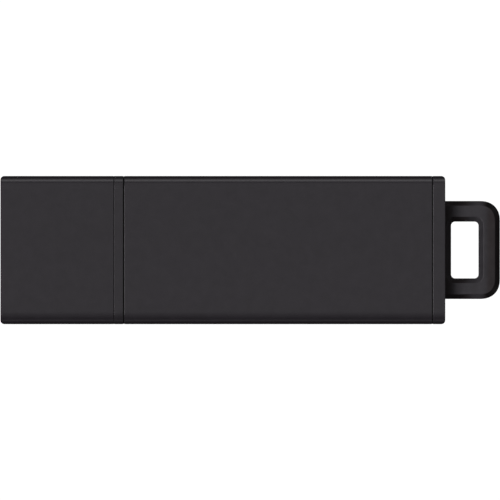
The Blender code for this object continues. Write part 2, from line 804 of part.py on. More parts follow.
def make_crystal():
    """Metal can on a slightly larger base, under the board."""
    shape = bmesh.new()
    rings = []
    for length, width, radius, depth in CRYSTAL_SECTIONS:
        outline = rounded_outline(length, width, radius, CRYSTAL_SEGMENTS, CRYSTAL_CENTRE)
        rings.append(level_ring(shape, outline, Z_BELOW - depth))
    loft(shape, rings)
    return solid("crystal_oscillator", shape, CAN_STEEL)


# ---------------------------------------------------------------- two-terminal components
CAP_PROUD = 0.03  # end caps stand this far out from the block

# name, (x, y), (length, width, height), end cap length, length axis, face of board, material
TWO_TERMINAL = (
    ("capacitor_bulk", (15.6, -2.6), (3.2, 1.6, 1.2), 0.5, "Y", "above", CAPACITOR_TAN),
    ("capacitor_regulator", (12.7, -0.9), (1.6, 0.8, 0.8), 0.3, "Y", "above", CAPACITOR_TAN),
    ("capacitor_crystal_a", (7.8, 1.1), (1.0, 0.5, 0.5), 0.25, "X", "below", CAPACITOR_TAN),
    ("capacitor_crystal_b", (7.8, -1.1), (1.0, 0.5, 0.5), 0.25, "X", "below", CAPACITOR_TAN),
    ("resistor_data_minus", (-10.9, 1.0), (1.6, 0.8, 0.45), 0.3, "X", "above", RESISTOR_BLACK),
    ("resistor_data_plus", (-10.9, -1.0), (1.6, 0.8, 0.45), 0.3, "X", "above", RESISTOR_BLACK),
    ("ferrite_bead", (-10.9, 3.2), (1.6, 0.8, 0.8), 0.3, "X", "above", FERRITE_GREY),
    ("input_fuse", (16.0, 2.4), (3.2, 1.6, 0.7), 0.5, "Y", "above", FUSE_GREEN),
)


def make_two_terminal(name, centre, size, cap, axis, face, surface):
    """Block with a slightly larger cap at each end."""
    x, y = centre
    length, width, height = size
    z_near, away = (Z_ABOVE, 1) if face == "above" else (Z_BELOW, -1)
    # position along the length, growth of the section there
    stations = (
        (-length / 2, CAP_PROUD),
        (-length / 2 + cap, CAP_PROUD),
        (-length / 2 + cap, 0),
        (length / 2 - cap, 0),
        (length / 2 - cap, CAP_PROUD),
        (length / 2, CAP_PROUD),
    )
    shape = bmesh.new()
    rings = []
    for along, grow in stations:
        half = width / 2 + grow
        near, far = CAP_PROUD - grow, height + CAP_PROUD + grow
        points = []
        for across, rise in ((-half, near), (half, near), (half, far), (-half, far)):
            z = z_near + away * rise
            if axis == "X":
                points.append((x + along, y + across, z))
            else:
                points.append((x + across, y + along, z))
        rings.append(add_vertices(shape, points))
    loft(shape, rings)
    return solid(name, shape, surface)


# ---------------------------------------------------------------- carrier halves
CARRIER_HALF_Y = WIDTH / 2 - FIT_INSET
CARRIER_R = EDGE_R - FIT_INSET
X_CARRIER_FRONT = X_SKIRT_END + 0.2
Z_CARRIER_LOW, Z_CARRIER_HIGH = FIT_INSET, THICK - FIT_INSET
CARRIER_WALL = 0.8  # floor and ceiling
REAR_WALL = 1.0
WELL_HALF_Y = 7.3  # between the ledges
BOARD_POCKET_HALF_Y = 8.0
CARRIER_FIT = 0.05  # lid to pocket, and both halves to the board
Z_TRAY_RIM = PCB_TOP + 0.25
Z_LID_RIM = PCB_TOP + 0.31
X_LID_BACK = X_PCB_BACK + 0.20
LID_BACK_LEDGE = 0.6  # length of board under the ledge at the lid's back
PIN_SEGMENTS, BOSS_SEGMENTS = 20, 28
Z_PIN = (Z_CARRIER_LOW + 0.4, 6.0)
Z_BOSS = (PCB_TOP + 0.10, Z_CARRIER_HIGH - 0.4)
Z_SOCKET = (PCB_TOP - CUT_PAST, 6.7)
BOSS_R = 1.5
SOCKET_R = PIN_R + 0.12


def carrier_prism(name, z_face, upward, rim, x_back):
    """Extrudes rim points (y, z), then a rounded corner to z_face, and their mirror image."""
    half_outline = list(rim)
    for degrees in range(0, 91, 15):
        angle = math.radians(degrees)
        y = CARRIER_HALF_Y - CARRIER_R + CARRIER_R * math.cos(angle)
        z = z_face - upward * (CARRIER_R - CARRIER_R * math.sin(angle))
        half_outline.append((y, z))
    outline = half_outline + [(-y, z) for y, z in reversed(half_outline)]
    return prism_solid(name, outline, "X", X_CARRIER_FRONT, x_back, CARRIER_PLASTIC)


def make_carrier_lower():
    """Tray: floor, ledges the board rests on, side walls, rear wall and two locating pins."""
    rim = [(CARRIER_HALF_Y, Z_TRAY_RIM)]
    piece = carrier_prism("carrier_lower", Z_CARRIER_LOW, -1, rim, X_CARRIER_BACK)
    well = helper_box(
        "cut_lower_well",
        (X_CARRIER_FRONT - CUT_PAST, X_CARRIER_BACK - REAR_WALL),
        (-WELL_HALF_Y, WELL_HALF_Y),
        (Z_CARRIER_LOW + CARRIER_WALL, PCB_TOP + 2 * CUT_PAST),
    )
    cut(piece, well)
    pocket = helper_box(
        "cut_lower_pocket",
        (X_CARRIER_FRONT - 2 * CUT_PAST, X_PCB_BACK + 0.25),
        (-BOARD_POCKET_HALF_Y, BOARD_POCKET_HALF_Y),
        (PCB_BOTTOM - CARRIER_FIT, PCB_TOP + 3 * CUT_PAST),
    )
    cut(piece, pocket)
    for label, side in SIDES:
        y = side * PIN_Y
        join(piece, helper_cylinder(f"add_pin_{label}", PIN_X, y, Z_PIN, PIN_R, PIN_SEGMENTS))
    return piece


def make_carrier_upper():
    """Lid: ceiling, ledges that hold the board down, and two sockets for the locating pins."""
    y_ledge = BOARD_POCKET_HALF_Y - CARRIER_FIT
    rim = [
        (y_ledge, PCB_TOP + CARRIER_FIT),
        (y_ledge, Z_LID_RIM),
        (CARRIER_HALF_Y, Z_LID_RIM),
    ]
    piece = carrier_prism("carrier_upper", Z_CARRIER_HIGH, 1, rim, X_LID_BACK)
    well = helper_box(
        "cut_upper_well",
        (X_CARRIER_FRONT - CUT_PAST, X_PCB_BACK - LID_BACK_LEDGE),
        (-WELL_HALF_Y, WELL_HALF_Y),
        (PCB_TOP - 2 * CUT_PAST, Z_CARRIER_HIGH - CARRIER_WALL),
    )
    cut(piece, well)
    for label, side in SIDES:
        y = side * PIN_Y
        boss = helper_cylinder(f"add_boss_{label}", PIN_X, y, Z_BOSS, BOSS_R, BOSS_SEGMENTS)
        join(piece, boss)
        socket = helper_cylinder(
            f"cut_socket_{label}", PIN_X, y, Z_SOCKET, SOCKET_R, PIN_SEGMENTS
        )
        cut(piece, socket)
    return piece


# ---------------------------------------------------------------- build
def make_group(name, location, pieces):
    """Parents the pieces to an empty without moving them."""
    parent = bpy.data.objects.new(name, None)
    parent.location = Vector(location) * MM
    bpy.context.scene.collection.objects.link(parent)
    for piece in pieces:
        piece.parent = parent
        piece.matrix_parent_inverse = Matrix.Translation(-parent.location)


def main():
    clear_scene()
    cap = [make_cap_shell(), make_cap_liner()]
    drive = [
        make_sleeve(),
        make_collar(),
        make_rear_plate(),
        make_loop(),
        make_carrier_lower(),
        make_carrier_upper(),
        make_plug_shell(),
        make_insulator(),
        make_board(),
        make_flash_chip(),
        make_controller(),
        make_regulator(),
        make_crystal(),
    ]
    drive += [make_contact(*row) for row in CONTACTS]
    drive += [make_two_terminal(*row) for row in TWO_TERMINAL]
    # the cap slides along -X from the seam at its mouth
    make_group("cap_slide_axis", (X_CAP_MOUTH, 0.0, Z_MID), cap)
    make_group("drive_body", (0.0, 0.0, 0.0), drive)


main()
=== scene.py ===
"""Looks for a capped USB flash drive, built over its CAD model.

The drive lies flat along X: cap and plug at -X, end plate and lanyard loop at +X. Y runs across
it, and Z rises from its underside at 0. Sizes are in millimetres unless a comment says
otherwise; MM turns them into the scene's metres. An inset is measured inwards from a surface.
"""

import math

import bmesh
import bpy
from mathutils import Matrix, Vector


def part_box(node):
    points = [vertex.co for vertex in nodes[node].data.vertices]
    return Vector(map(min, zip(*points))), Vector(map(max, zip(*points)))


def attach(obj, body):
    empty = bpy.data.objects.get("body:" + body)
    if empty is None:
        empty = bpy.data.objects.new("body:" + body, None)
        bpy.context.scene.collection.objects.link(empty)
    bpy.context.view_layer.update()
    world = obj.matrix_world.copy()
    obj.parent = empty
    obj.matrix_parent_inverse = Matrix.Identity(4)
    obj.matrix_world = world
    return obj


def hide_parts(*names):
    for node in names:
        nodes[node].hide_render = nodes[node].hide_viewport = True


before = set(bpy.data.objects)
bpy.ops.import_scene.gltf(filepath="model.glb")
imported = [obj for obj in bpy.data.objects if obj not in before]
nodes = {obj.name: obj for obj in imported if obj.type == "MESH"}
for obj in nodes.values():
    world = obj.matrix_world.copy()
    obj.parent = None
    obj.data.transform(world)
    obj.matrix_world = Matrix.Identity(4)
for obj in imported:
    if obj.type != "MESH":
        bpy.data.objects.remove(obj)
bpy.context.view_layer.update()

MM = 0.001


# ---------------------------------------------------------------- places and shared sizes
def span(node):
    """Lowest and highest corner of a CAD node."""
    low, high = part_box(nodes[node] if False else node)
    return [round(v / MM, 4) for v in low], [round(v / MM, 4) for v in high]


def span_x(node):
    low, high = span(node)
    return low[0], high[0]


CAP_X0, CAP_X1 = span_x("cap_shell")
LINER_X0, LINER_X1 = span_x("cap_liner")
COLLAR_X0, COLLAR_X1 = span_x("front_collar")
SLEEVE_X0, SLEEVE_X1 = span_x("outer_sleeve")
PLATE_X0, PLATE_X1 = span_x("rear_end_plate")
(PLUG_X0, _, PLUG_Z0), (PLUG_X1, _, _) = span("usb_plug_shell")
(LOOP_X0, _, LOOP_Z0), (LOOP_X1, LOOP_Y1, LOOP_Z1) = span("lanyard_loop")
_, (_, HALF_WIDTH, THICK) = span("outer_sleeve")
WIDTH = 2 * HALF_WIDTH
Z_MID = THICK / 2

SEG = 20  # segments in each long edge's radius
FULLER = 0.038  # the long sides stand this far outside the CAD solid
EDGE_R = 1.75  # long edges
PLAN_R = 0.53  # upright corners of the closed ends
WALL = 0.70
OUTSIDE = (WIDTH, THICK, EDGE_R)  # a section is (width, height, corner radius)
SKIRT = WALL + 0.1  # inset of the collar and end plate inside the sleeve

# seams between the outer pieces
COLLAR_FRONT, COLLAR_BACK = CAP_X1 + 0.06, SLEEVE_X0 - 0.155
PLATE_FRONT = SLEEVE_X1 + 0.11
PLATE_RIM, SLEEVE_RIM = PLATE_FRONT - 0.022, SLEEVE_X1 - 0.037
CAP_GAP, SLEEVE_GAP = 0.012, 0.008
SEAM_1_DEEP, SEAM_2_DEEP, SEAM_3_DEEP = 0.035, 0.04, 0.04

# plug
PLUG_W, PLUG_H, PLUG_R, PLUG_GAP = 12.0, 4.5, 0.45, 0.10
PLUG_HOLE = (PLUG_W + 2 * PLUG_GAP, PLUG_H + 2 * PLUG_GAP, PLUG_R)

# loop, where the end plate also needs it
LOOP_HALF_Y, LOOP_T = 6.645, 3.60


# ---------------------------------------------------------------- shader helpers
class Value:
    """A shader output that takes arithmetic. Each operation adds one node."""

    def __init__(self, tree, socket):
        self.tree = tree
        self.socket = socket

    def __add__(self, other):
        return self.tree.math("ADD", self, other)

    def __radd__(self, other):
        return self.tree.math("ADD", other, self)

    def __sub__(self, other):
        return self.tree.math("SUBTRACT", self, other)

    def __rsub__(self, other):
        return self.tree.math("SUBTRACT", other, self)

    def __mul__(self, other):
        return self.tree.math("MULTIPLY", self, other)

    def __truediv__(self, other):
        return self.tree.math("DIVIDE", self, other)

    def __pow__(self, other):
        return self.tree.math("POWER", self, other)

    def __abs__(self):
        return self.tree.math("ABSOLUTE", self)

    def sqrt(self):
        return self.tree.math("SQRT", self)

    def max(self, other):
        return self.tree.math("MAXIMUM", self, other)

    def fade(self, over, to=(0.0, 1.0), kind="SMOOTHSTEP"):
        """Maps the range over to the range to, held level outside it."""
        inputs = dict(enumerate((self, *over, *to)))
        return self.tree.add("MapRange", inputs, interpolation_type=kind, clamp=True)

    def linear(self, over, to=(0.0, 1.0)):
        return self.fade(over, to, "LINEAR")


class Tree:
    """Small wrapper that makes a shader tree short to write."""

    def __init__(self, tree):
        self.tree = tree
        self.object_coords = None
        tree.nodes.clear()

    def put(self, socket, value):
        """Links an output to a socket, or sets the socket's value."""
        if isinstance(value, Value):
            value = value.socket
        if isinstance(value, bpy.types.NodeSocket):
            self.tree.links.new(value, socket)
        elif socket.type == "RGBA":
            socket.default_value = (*value, 1.0)
        else:
            socket.default_value = value

    def fill(self, node, inputs):
        for key, value in inputs.items():
            self.put(node.inputs[key], value)

    def new(self, kind, inputs=None, **settings):
        """Adds a node. The keys of inputs are socket names or numbers."""
        node = self.tree.nodes.new("ShaderNode" + kind)
        for key, value in settings.items():
            setattr(node, key, value)
        self.fill(node, inputs or {})
        return node

    def add(self, kind, inputs=None, output=0, **settings):
        """Adds a node and gives one of its outputs."""
        return Value(self, self.new(kind, inputs, **settings).outputs[output])

    def math(self, operation, first, second=0.0, clamp=False):
        return self.add("Math", {0: first, 1: second}, operation=operation, use_clamp=clamp)

    def split(self, vector):
        node = self.new("SeparateXYZ", {0: vector})
        return [Value(self, socket) for socket in node.outputs]

    def coords(self):
        if self.object_coords is None:
            self.object_coords = self.add("TexCoord", output="Object")
        return self.object_coords

    def facing(self):
        """The parts of the surface normal along X, Y and Z."""
        return self.split(self.add("TexCoord", output="Normal"))

    def multiply(self, vector, factors):
        return self.add("VectorMath", {0: vector, 1: factors}, operation="MULTIPLY")

    def scale(self, vector, factor):
        return self.add("VectorMath", {0: vector, "Scale": factor}, operation="SCALE")

    def noise(self, scale, detail=2.0, rough=0.6, stretch=None, distortion=0.0):
        vector = self.multiply(self.coords(), stretch) if stretch else self.coords()
        inputs = {
            "Scale": scale,
            "Detail": detail,
            "Roughness": rough,
            "Distortion": distortion,
            "Vector": vector,
        }
        return self.add("TexNoise", inputs, output="Fac")

    def mix(self, factor, first, second):
        return self.add("Mix", {0: factor, 6: first, 7: second}, output=2, data_type="RGBA")

    def mottled(self, factor, rgb, spread):
        """Colour that varies by the share spread either side of rgb."""
        darker, lighter = (tuple(c * share for c in rgb) for share in around(1.0, spread))
        return self.mix(factor, darker, lighter)

    def bump(self, height, strength, distance=0.00001):
        """Bump normal; distance is in metres."""
        inputs = {"Strength": strength, "Distance": distance, "Height": height}
        return self.add("Bump", inputs, output="Normal")

    def level_direction(self, x, y):
        """The horizontal part of a direction, at unit length."""
        run = (x * x + y * y + 1e-6).sqrt()
        return x / run, y / run

    def diagonal(self, x, y):
        """1 towards the four corners and 0 along the axes, for a level unit direction."""
        return abs(x * y * 2.0) ** 3.0


def around(middle, share):
    return middle * (1 - share), middle * (1 + share)


def start_material(name, rgb):
    material = bpy.data.materials.new(name)
    material.use_nodes = True
    material.diffuse_color = (*rgb, 1.0)
    tree = Tree(material.node_tree)
    shader = tree.new("BsdfPrincipled")
    tree.new("OutputMaterial", {0: shader.outputs[0]})
    return material, tree, shader


# ---------------------------------------------------------------- kinds of material
MOTTLE = 0.112  # share by which the black surfaces' colour varies
POLISH = 0.06  # share by which their roughness varies


def satin(name, rgb, rough, spec=0.5, grain=26000.0, grain_bump=0.12):
    """Dark satin surface: blasted grain, faint cloudy colour, slightly uneven polish."""
    material, tree, shader = start_material(name, rgb)
    cloud = tree.noise(scale=700.0, detail=3.0)
    speck = tree.noise(scale=9000.0, detail=1.0, rough=0.5)
    both = cloud * 0.6 + speck * 0.4
    tree.fill(shader, {
        "Base Color": tree.mottled(both.linear(over=(0.3, 0.7)), rgb, MOTTLE),
        "Roughness": cloud.linear(over=(0.25, 0.75), to=around(rough, POLISH)),
        "IOR": 1.5,
        "Specular IOR Level": spec,
    })
    if grain_bump:
        fine = tree.noise(scale=grain)
        tree.fill(shader, {"Normal": tree.bump(fine, grain_bump)})
    return material


def loop_plastic(name, rgb, rough, spec, grain, grain_bump):
    """Moulded loop with painted shade: its bevels are painted nearly black by the end plate and
    round the nose, and its flats are painted slightly darker there."""
    material, tree, shader = start_material(name, rgb)
    cloud = tree.noise(scale=700.0, detail=3.0)
    fine = tree.noise(scale=grain)
    x, y, _ = tree.split(tree.coords())
    along = x * (1.0 / MM)
    facing_x, _, facing_z = tree.facing()

    def past_plate(start, end, to):
        return along.fade(over=(PLATE_X1 + start, PLATE_X1 + end), to=to)

    # painted shade: the plate's shadow on the loop's sides, deeper towards the outer sides and
    # fading out 2.1 to 4.4 mm past the plate; side is 0 on the top and bottom flats
    side = abs(facing_z).fade(over=(0.70, 0.93), to=(1.0, 0.0))
    depth = abs(y).fade(over=(4.8 * MM, 5.6 * MM), to=(0.45, 0.62))
    root = side * depth * past_plate(2.1, 4.4, to=(1.0, 0.0))
    # painted shade on surfaces that face +X, away from the key light, and on the bevels of the two
    # outer corners
    nose = facing_x.fade(over=(0.48, 0.72)) * facing_x.fade(over=(0.90, 0.995), to=(0.62, 0.1))
    nose = nose * along.fade(over=(29.0, 31.0))
    corner = facing_x.fade(over=(0.0, 0.36)) * facing_x.fade(over=(0.60, 0.80), to=(0.78, 0.62))
    corner = corner * side * along.fade(over=(31.0, 31.5))
    nose = nose.max(corner)
    # slight painted shade on the hole's far wall, which faces -X
    inside = facing_x.fade(over=(-0.6, -0.3), to=(0.10, 0.0)) * along.fade(over=(30.5, 30.9))
    # the plate's own shade does the rest close to it
    shaded = root * past_plate(0.3, 1.7, to=(0.48, 1.0))
    # painted shade on the flats close to the plate
    flat_shade_by_plate = past_plate(0.2, 1.7, to=(0.33, 0.0)) * (1.0 - side * 0.8)
    # all the painted light and shade, multiplied into the colour and the specular level
    painted_shading = (1.0 - shaded) * (1.0 - nose) * (1.0 - inside) * (1.0 - flat_shade_by_plate)
    # painted shade towards the nose end, and the sides painted 13% lighter
    painted_shading = painted_shading * along.fade(over=(30.9, 32.6), to=(1.0, 0.92)) * (1.0 + side * 0.13)

    cloudy = tree.mottled(cloud.linear(over=(0.3, 0.7)), rgb, MOTTLE)
    # a warmer tint at the nose end and in the deepest painted shade
    warmth = along.fade(over=(31.8, 32.5)).max(painted_shading.fade(over=(0.65, 0.95), to=(1.0, 0.0)))
    tint = tree.mix(warmth, (1.0, 1.0, 1.0), (1.0, 0.918, 0.865))
    # thin gloss: none right by the plate, and left off where shade is painted on the sides and on
    # the outer corners' bevels
    gloss_off_on_corners = corner * facing_x.fade(over=(0.55, 0.80), to=(1.0, 0.0))
    gloss_off_in_shade = tree.math("ADD", root * 1.6, gloss_off_on_corners, clamp=True)
    tree.fill(shader, {
        "Base Color": tree.scale(tree.multiply(cloudy, tint), painted_shading),
        "Roughness": cloud.linear(over=(0.25, 0.75), to=around(rough, POLISH)),
        "Specular IOR Level": painted_shading * spec,
        "Coat Weight": past_plate(0.8, 3.4, to=(0.0, 0.28)) * (1.0 - gloss_off_in_shade),
        "Coat Roughness": 0.16,
        "Normal": tree.bump(fine, grain_bump),
    })
    return material


def plated(name, rgb, rough, streak=(400.0, 9000.0, 9000.0), bump=0.05, stain=None, tip=1.0):
    """Plated metal: fine lines, along X unless streak says otherwise, and clouded polish.

    stain is the colour of the cloudy patches. tip is the share of the base colour kept on faces
    towards -X, painted shade that dims their reflection."""
    material, tree, shader = start_material(name, rgb)
    lines = tree.noise(scale=1.0, detail=3.0, stretch=streak)
    cloud = tree.noise(scale=420.0, detail=3.0, rough=0.5)
    dull = stain or tuple(c * 0.9 for c in rgb)
    base = tree.mix(cloud.fade(over=(0.35, 0.8), to=(0.0, 0.6)), rgb, dull)
    # painted shade: faces towards -X get a darker base colour, which dims their reflection
    if tip < 1.0:
        facing_x = tree.facing()[0]
        base = tree.scale(base, (facing_x * -1.0).fade(over=(0.03, 0.15), to=(1.0, tip)))
    line_rough = lines.linear(over=(0.2, 0.8), to=around(rough, 0.25))
    tree.fill(shader, {
        "Base Color": base,
        "Roughness": line_rough + cloud.fade(over=(0.4, 0.9), to=(0.0, 0.05)),
        "Metallic": 1.0,
        "Normal": tree.bump(lines, bump),
    })
    return material


def moulded(name, rgb, rough, grain=12000.0, bump=0.1, subsurface=0.0, mottle=0.04):
    """Injection-moulded plastic: soft spark-eroded texture and a trace of flow."""
    material, tree, shader = start_material(name, rgb)
    flow = tree.noise(scale=1.0, rough=0.5, stretch=(90.0, 400.0, 400.0), distortion=0.6)
    fine = tree.noise(scale=grain)
    tree.fill(shader, {
        "Base Color": tree.mottled(flow, rgb, mottle),
        "Roughness": fine.linear(over=(0.2, 0.8), to=around(rough, 0.08)),
        "Normal": tree.bump(fine, bump),
    })
    if subsurface:
        tree.fill(shader, {
            "Subsurface Weight": subsurface,
            "Subsurface Radius": (0.0006, 0.0005, 0.0004),  # metres
            "Subsurface Scale": 1.0,
        })
    return material


def solder_mask(name):
    """Green lacquer over copper: tracks show as slightly raised, lighter lines."""
    material, tree, shader = start_material(name, (0.01, 0.1, 0.035))
    y = tree.split(tree.coords())[1]
    wobble = tree.noise(scale=180.0, detail=1.0, rough=0.4)
    # 2600 lanes to the metre across Y, bent by the wobble
    lane = tree.math("FRACT", y * 2600.0 + wobble * 7.0)
    track = lane.fade(over=(0.25, 0.32)) * lane.fade(over=(0.62, 0.69), to=(1.0, 0.0))
    track = track * tree.noise(scale=160.0, detail=0.0, rough=0.5).fade(over=(0.42, 0.52))
    pour = tree.noise(scale=110.0, detail=1.0, rough=0.4).fade(over=(0.56, 0.60))
    copper = track.max(pour)
    tree.fill(shader, {
        "Base Color": tree.mix(copper, (0.006, 0.075, 0.026), (0.014, 0.145, 0.048)),
        "Roughness": 0.28,
        "Coat Weight": 0.4,
        "Coat Roughness": 0.12,
        "Normal": tree.bump(copper, strength=0.5, distance=0.00003),
    })
    return material


# ---------------------------------------------------------------- materials
BODY_BLACK = satin("anodised_black_satin", rgb=(0.0242, 0.0214, 0.0252), rough=0.22)
TRIM_BLACK = satin("trim_black_satin", rgb=(0.0238, 0.0212, 0.0247), rough=0.23, grain=18000.0)
# near-black painted shade for the seams' shallow steps, standing in for the shadow in the gaps
SEAM_SHADE_BLACK = satin("seam_painted_shade", rgb=(0.005, 0.005, 0.005), rough=0.9, spec=0.05, grain_bump=0.0)
# the loop's plastic, with painted shade by the end plate and round the nose
LOOP_BLACK = loop_plastic(
    "loop_black_plastic",
    rgb=(0.0458, 0.0430, 0.0471), rough=0.42, spec=0.08, grain=15000.0, grain_bump=0.08,
)
INNER_BLACK = moulded("liner_black_plastic", rgb=(0.016, 0.016, 0.017), rough=0.5)
CARRIER_BLACK = moulded("carrier_black_plastic", rgb=(0.028, 0.028, 0.030), rough=0.5)
# tip paints shade on the plug's faces towards -X, its rolled mouth
NICKEL = plated("nickel_plated_sheet", rgb=(0.70, 0.685, 0.66), rough=0.24, tip=0.36)
TONGUE_WHITE = moulded(
    "tongue_white_plastic", rgb=(0.78, 0.77, 0.73), rough=0.42, subsurface=0.15, mottle=0.01
)
GOLD = plated(
    "contact_gold_plate", rgb=(0.90, 0.64, 0.26), rough=0.2, bump=0.04, stain=(0.8, 0.52, 0.2)
)
MASK_GREEN = solder_mask("board_solder_mask")
FIBRE = moulded(
    "board_cut_edge", rgb=(0.32, 0.30, 0.12), rough=0.7, grain=20000.0, bump=0.3, mottle=0.15
)
EPOXY = moulded(
    "chip_moulding_compound", rgb=(0.020, 0.020, 0.022), rough=0.55, grain=9000.0, bump=0.25
)
TIN = plated(
    "tinned_ends", rgb=(0.68, 0.68, 0.67), rough=0.35, streak=(5000.0, 5000.0, 5000.0), bump=0.2
)
CAN = plated("crystal_can", rgb=(0.70, 0.70, 0.68), rough=0.22)
CERAMIC_TAN = moulded(
    "capacitor_ceramic", rgb=(0.36, 0.22, 0.12), rough=0.5, grain=14000.0, bump=0.15
)
CERAMIC_BLACK = moulded("resistor_glaze", rgb=(0.015, 0.015, 0.022), rough=0.25)
CERAMIC_GREY = moulded("ferrite_ceramic", rgb=(0.075, 0.075, 0.082), rough=0.6, bump=0.25)
FUSE_GREEN = moulded("fuse_laminate", rgb=(0.02, 0.13, 0.07), rough=0.45)


# ---------------------------------------------------------------- outlines and paths
def rounded_rect(section, seg, y_limit=None, fuller=0.0):
    """Rounded rectangle about (0, 0), its sides cut off at y_limit either way."""
    width, height, radius = section
    points = []
    for side, up, start in ((1, 1, 0), (-1, 1, 90), (-1, -1, 180), (1, -1, 270)):
        for i in range(seg + 1):
            angle = math.radians(start + 90 * i / seg)
            y = side * (width / 2 - radius) + (radius + fuller) * math.cos(angle)
            z = up * (height / 2 - radius) + radius * math.sin(angle)
            if y_limit is not None:
                y = max(-y_limit, min(y_limit, y))
            points.append((y, z))
    return points


def round_path(points, radii, seg=5):
    """Path with each inner corner replaced by an arc of its radius. The ends are kept."""
    path = [points[0]]
    for i in range(1, len(points) - 1):
        corner, before, after = Vector(points[i]), Vector(points[i - 1]), Vector(points[i + 1])
        back, onward = (before - corner).normalized(), (after - corner).normalized()
        turn = back.angle(onward)
        if radii[i] <= 0 or turn > math.pi - 0.02:
            path.append(tuple(corner))
            continue
        reach = min(
            radii[i] / math.tan(turn / 2),
            (before - corner).length * 0.49,
            (after - corner).length * 0.49,
        )
        radius = reach * math.tan(turn / 2)
        centre = corner + (back + onward).normalized() * (radius / math.sin(turn / 2))
        start = corner + back * reach - centre
        end = corner + onward * reach - centre
        total = start.angle(end)
        for k in range(seg + 1):
            share = k / seg
            spoke = start * math.sin((1 - share) * total) + end * math.sin(share * total)
            path.append(tuple(centre + spoke / math.sin(total)))
    path.append(points[-1])
    return path


def eased(x_rim, inward, depth, radius, seg=5):
    """Points (x, inset) that rise from a seam's ledge at depth, over a rim, to the surface."""
    top = math.acos(max(0.0, 1 - depth / radius))
    centre = x_rim + inward * radius * math.sin(top)
    points = []
    for k in range(seg + 1):
        angle = top * (1 - k / seg)
        x = centre - inward * radius * math.sin(angle)
        points.append((x, radius - radius * math.cos(angle)))
    return points


# ---------------------------------------------------------------- mesh helpers
def verts(solid, points):
    return [solid.verts.new(Vector(point) * MM) for point in points]


def ring(solid, x, section, inset=0.0, seg=SEG, y_limit=None, fuller=0.0, least_r=0.05):
    """Section of the drive at x, drawn in by inset all round."""
    width, height, radius = section
    drawn_in = (width - 2 * inset, height - 2 * inset, max(least_r, radius - inset))
    outline = rounded_rect(drawn_in, seg, y_limit, fuller)
    return verts(solid, [(x, y, z + Z_MID) for y, z in outline])


def rings(solid, section, stations, **options):
    """Rings for stations of (x, inset)."""
    return [ring(solid, x, section, inset, **options) for x, inset in stations]


def outer_rings(solid, path):
    """Rings for a path of (x, inset) over the outer surface and down into the joints."""
    return [
        ring(solid, x, OUTSIDE, inset, fuller=FULLER if inset < 0.5 else 0.0)
        for x, inset in path
    ]


def end_face(solid, x):
    """Ring just inside the edge of a flat closed end."""
    inset = 0.12
    return ring(solid, x, OUTSIDE, inset, y_limit=WIDTH / 2 - PLAN_R - inset)


def closed_end(solid, x_end, inward, edge):
    """Rings from a flat end, over its small edge and upright corners, to the straight sides."""

    def quarter(radius, first, steps):
        angles = [math.radians(90 * k / steps) for k in range(first, steps + 1)]
        return [radius * (1 - math.cos(angle)) for angle in angles]

    def rise(radius, depth):
        return math.sqrt(max(0.0, radius**2 - (radius - min(depth, radius)) ** 2))

    depths = sorted(quarter(edge, 0, 4) + quarter(PLAN_R, 1, 9))
    # rings that would nearly touch are left out
    spaced = [here for before, here in zip(depths, depths[1:]) if here - before > 0.004]
    made = []
    for depth in depths[:1] + spaced:
        inset = edge - rise(edge, depth)
        limit = WIDTH / 2 + FULLER - PLAN_R + rise(PLAN_R, depth) - inset
        x = x_end + inward * depth
        made.append(ring(solid, x, OUTSIDE, inset, y_limit=limit, fuller=FULLER))
    return made


def bridge(solid, start, end):
    count = len(start)
    made = []
    for i in range(count):
        j = (i + 1) % count
        made.append(solid.faces.new((start[i], start[j], end[j], end[i])))
    return made


def loft(solid, sections, closed=False, seam_bands=()):
    """Skins the sections. The bands numbered in seam_bands take the second material."""
    for i, (start, end) in enumerate(zip(sections, sections[1:])):
        for face in bridge(solid, start, end):
            face.material_index = 1 if i in seam_bands else 0
    if closed:
        bridge(solid, sections[-1], sections[0])
    else:
        solid.faces.new(list(reversed(sections[0])))
        solid.faces.new(sections[-1])


def prism(solid, low_points, high_points):
    low, high = verts(solid, low_points), verts(solid, high_points)
    solid.faces.new(list(reversed(low)))
    solid.faces.new(high)
    bridge(solid, low, high)


def new_object(name, data):
    obj = bpy.data.objects.new(name, data)
    bpy.context.scene.collection.objects.link(obj)
    return obj


def mesh_object(name, solid):
    mesh = bpy.data.meshes.new(name)
    solid.to_mesh(mesh)
    solid.free()
    return new_object(name, mesh)


def shade(obj, sharp_angle):
    obj.data.shade_smooth()
    obj.data.set_sharp_from_angle(angle=math.radians(sharp_angle))


def new_piece(name, solid, materials, body, cad_node, sharp_angle=35.0):
    """Makes a piece that rides on body and stands in for cad_node."""
    bmesh.ops.recalc_face_normals(solid, faces=solid.faces)
    obj = mesh_object(name, solid)
    for material in materials:
        obj.data.materials.append(material)
    shade(obj, sharp_angle)
    weighted = obj.modifiers.new("weighted", "WEIGHTED_NORMAL")
    weighted.keep_sharp = True
    weighted.weight = 100
    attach(obj, body)
    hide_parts(cad_node)
    return obj


def combine(obj, solid, operation="DIFFERENCE"):
    """Boolean with solid, applied, so that the piece holds its final mesh."""
    bmesh.ops.recalc_face_normals(solid, faces=solid.faces)
    tool = mesh_object("tool", solid)
    others = list(obj.modifiers)
    boolean = obj.modifiers.new("cut", "BOOLEAN")
    boolean.operation = operation
    boolean.solver = "EXACT"
    boolean.object = tool
    bpy.context.view_layer.update()
    graph = bpy.context.evaluated_depsgraph_get()
    for modifier in others:
        modifier.show_viewport = False
    graph.update()
    evaluated = obj.evaluated_get(graph)
    made = bpy.data.meshes.new_from_object(
        evaluated, preserve_all_data_layers=True, depsgraph=graph
    )
    for modifier in others:
        modifier.show_viewport = True
    obj.modifiers.remove(boolean)
    obj.data = made
    bpy.data.objects.remove(tool, do_unlink=True)


# ---------------------------------------------------------------- cap
CAP_END_WALL = 0.65
CAP_EDGE = 0.07


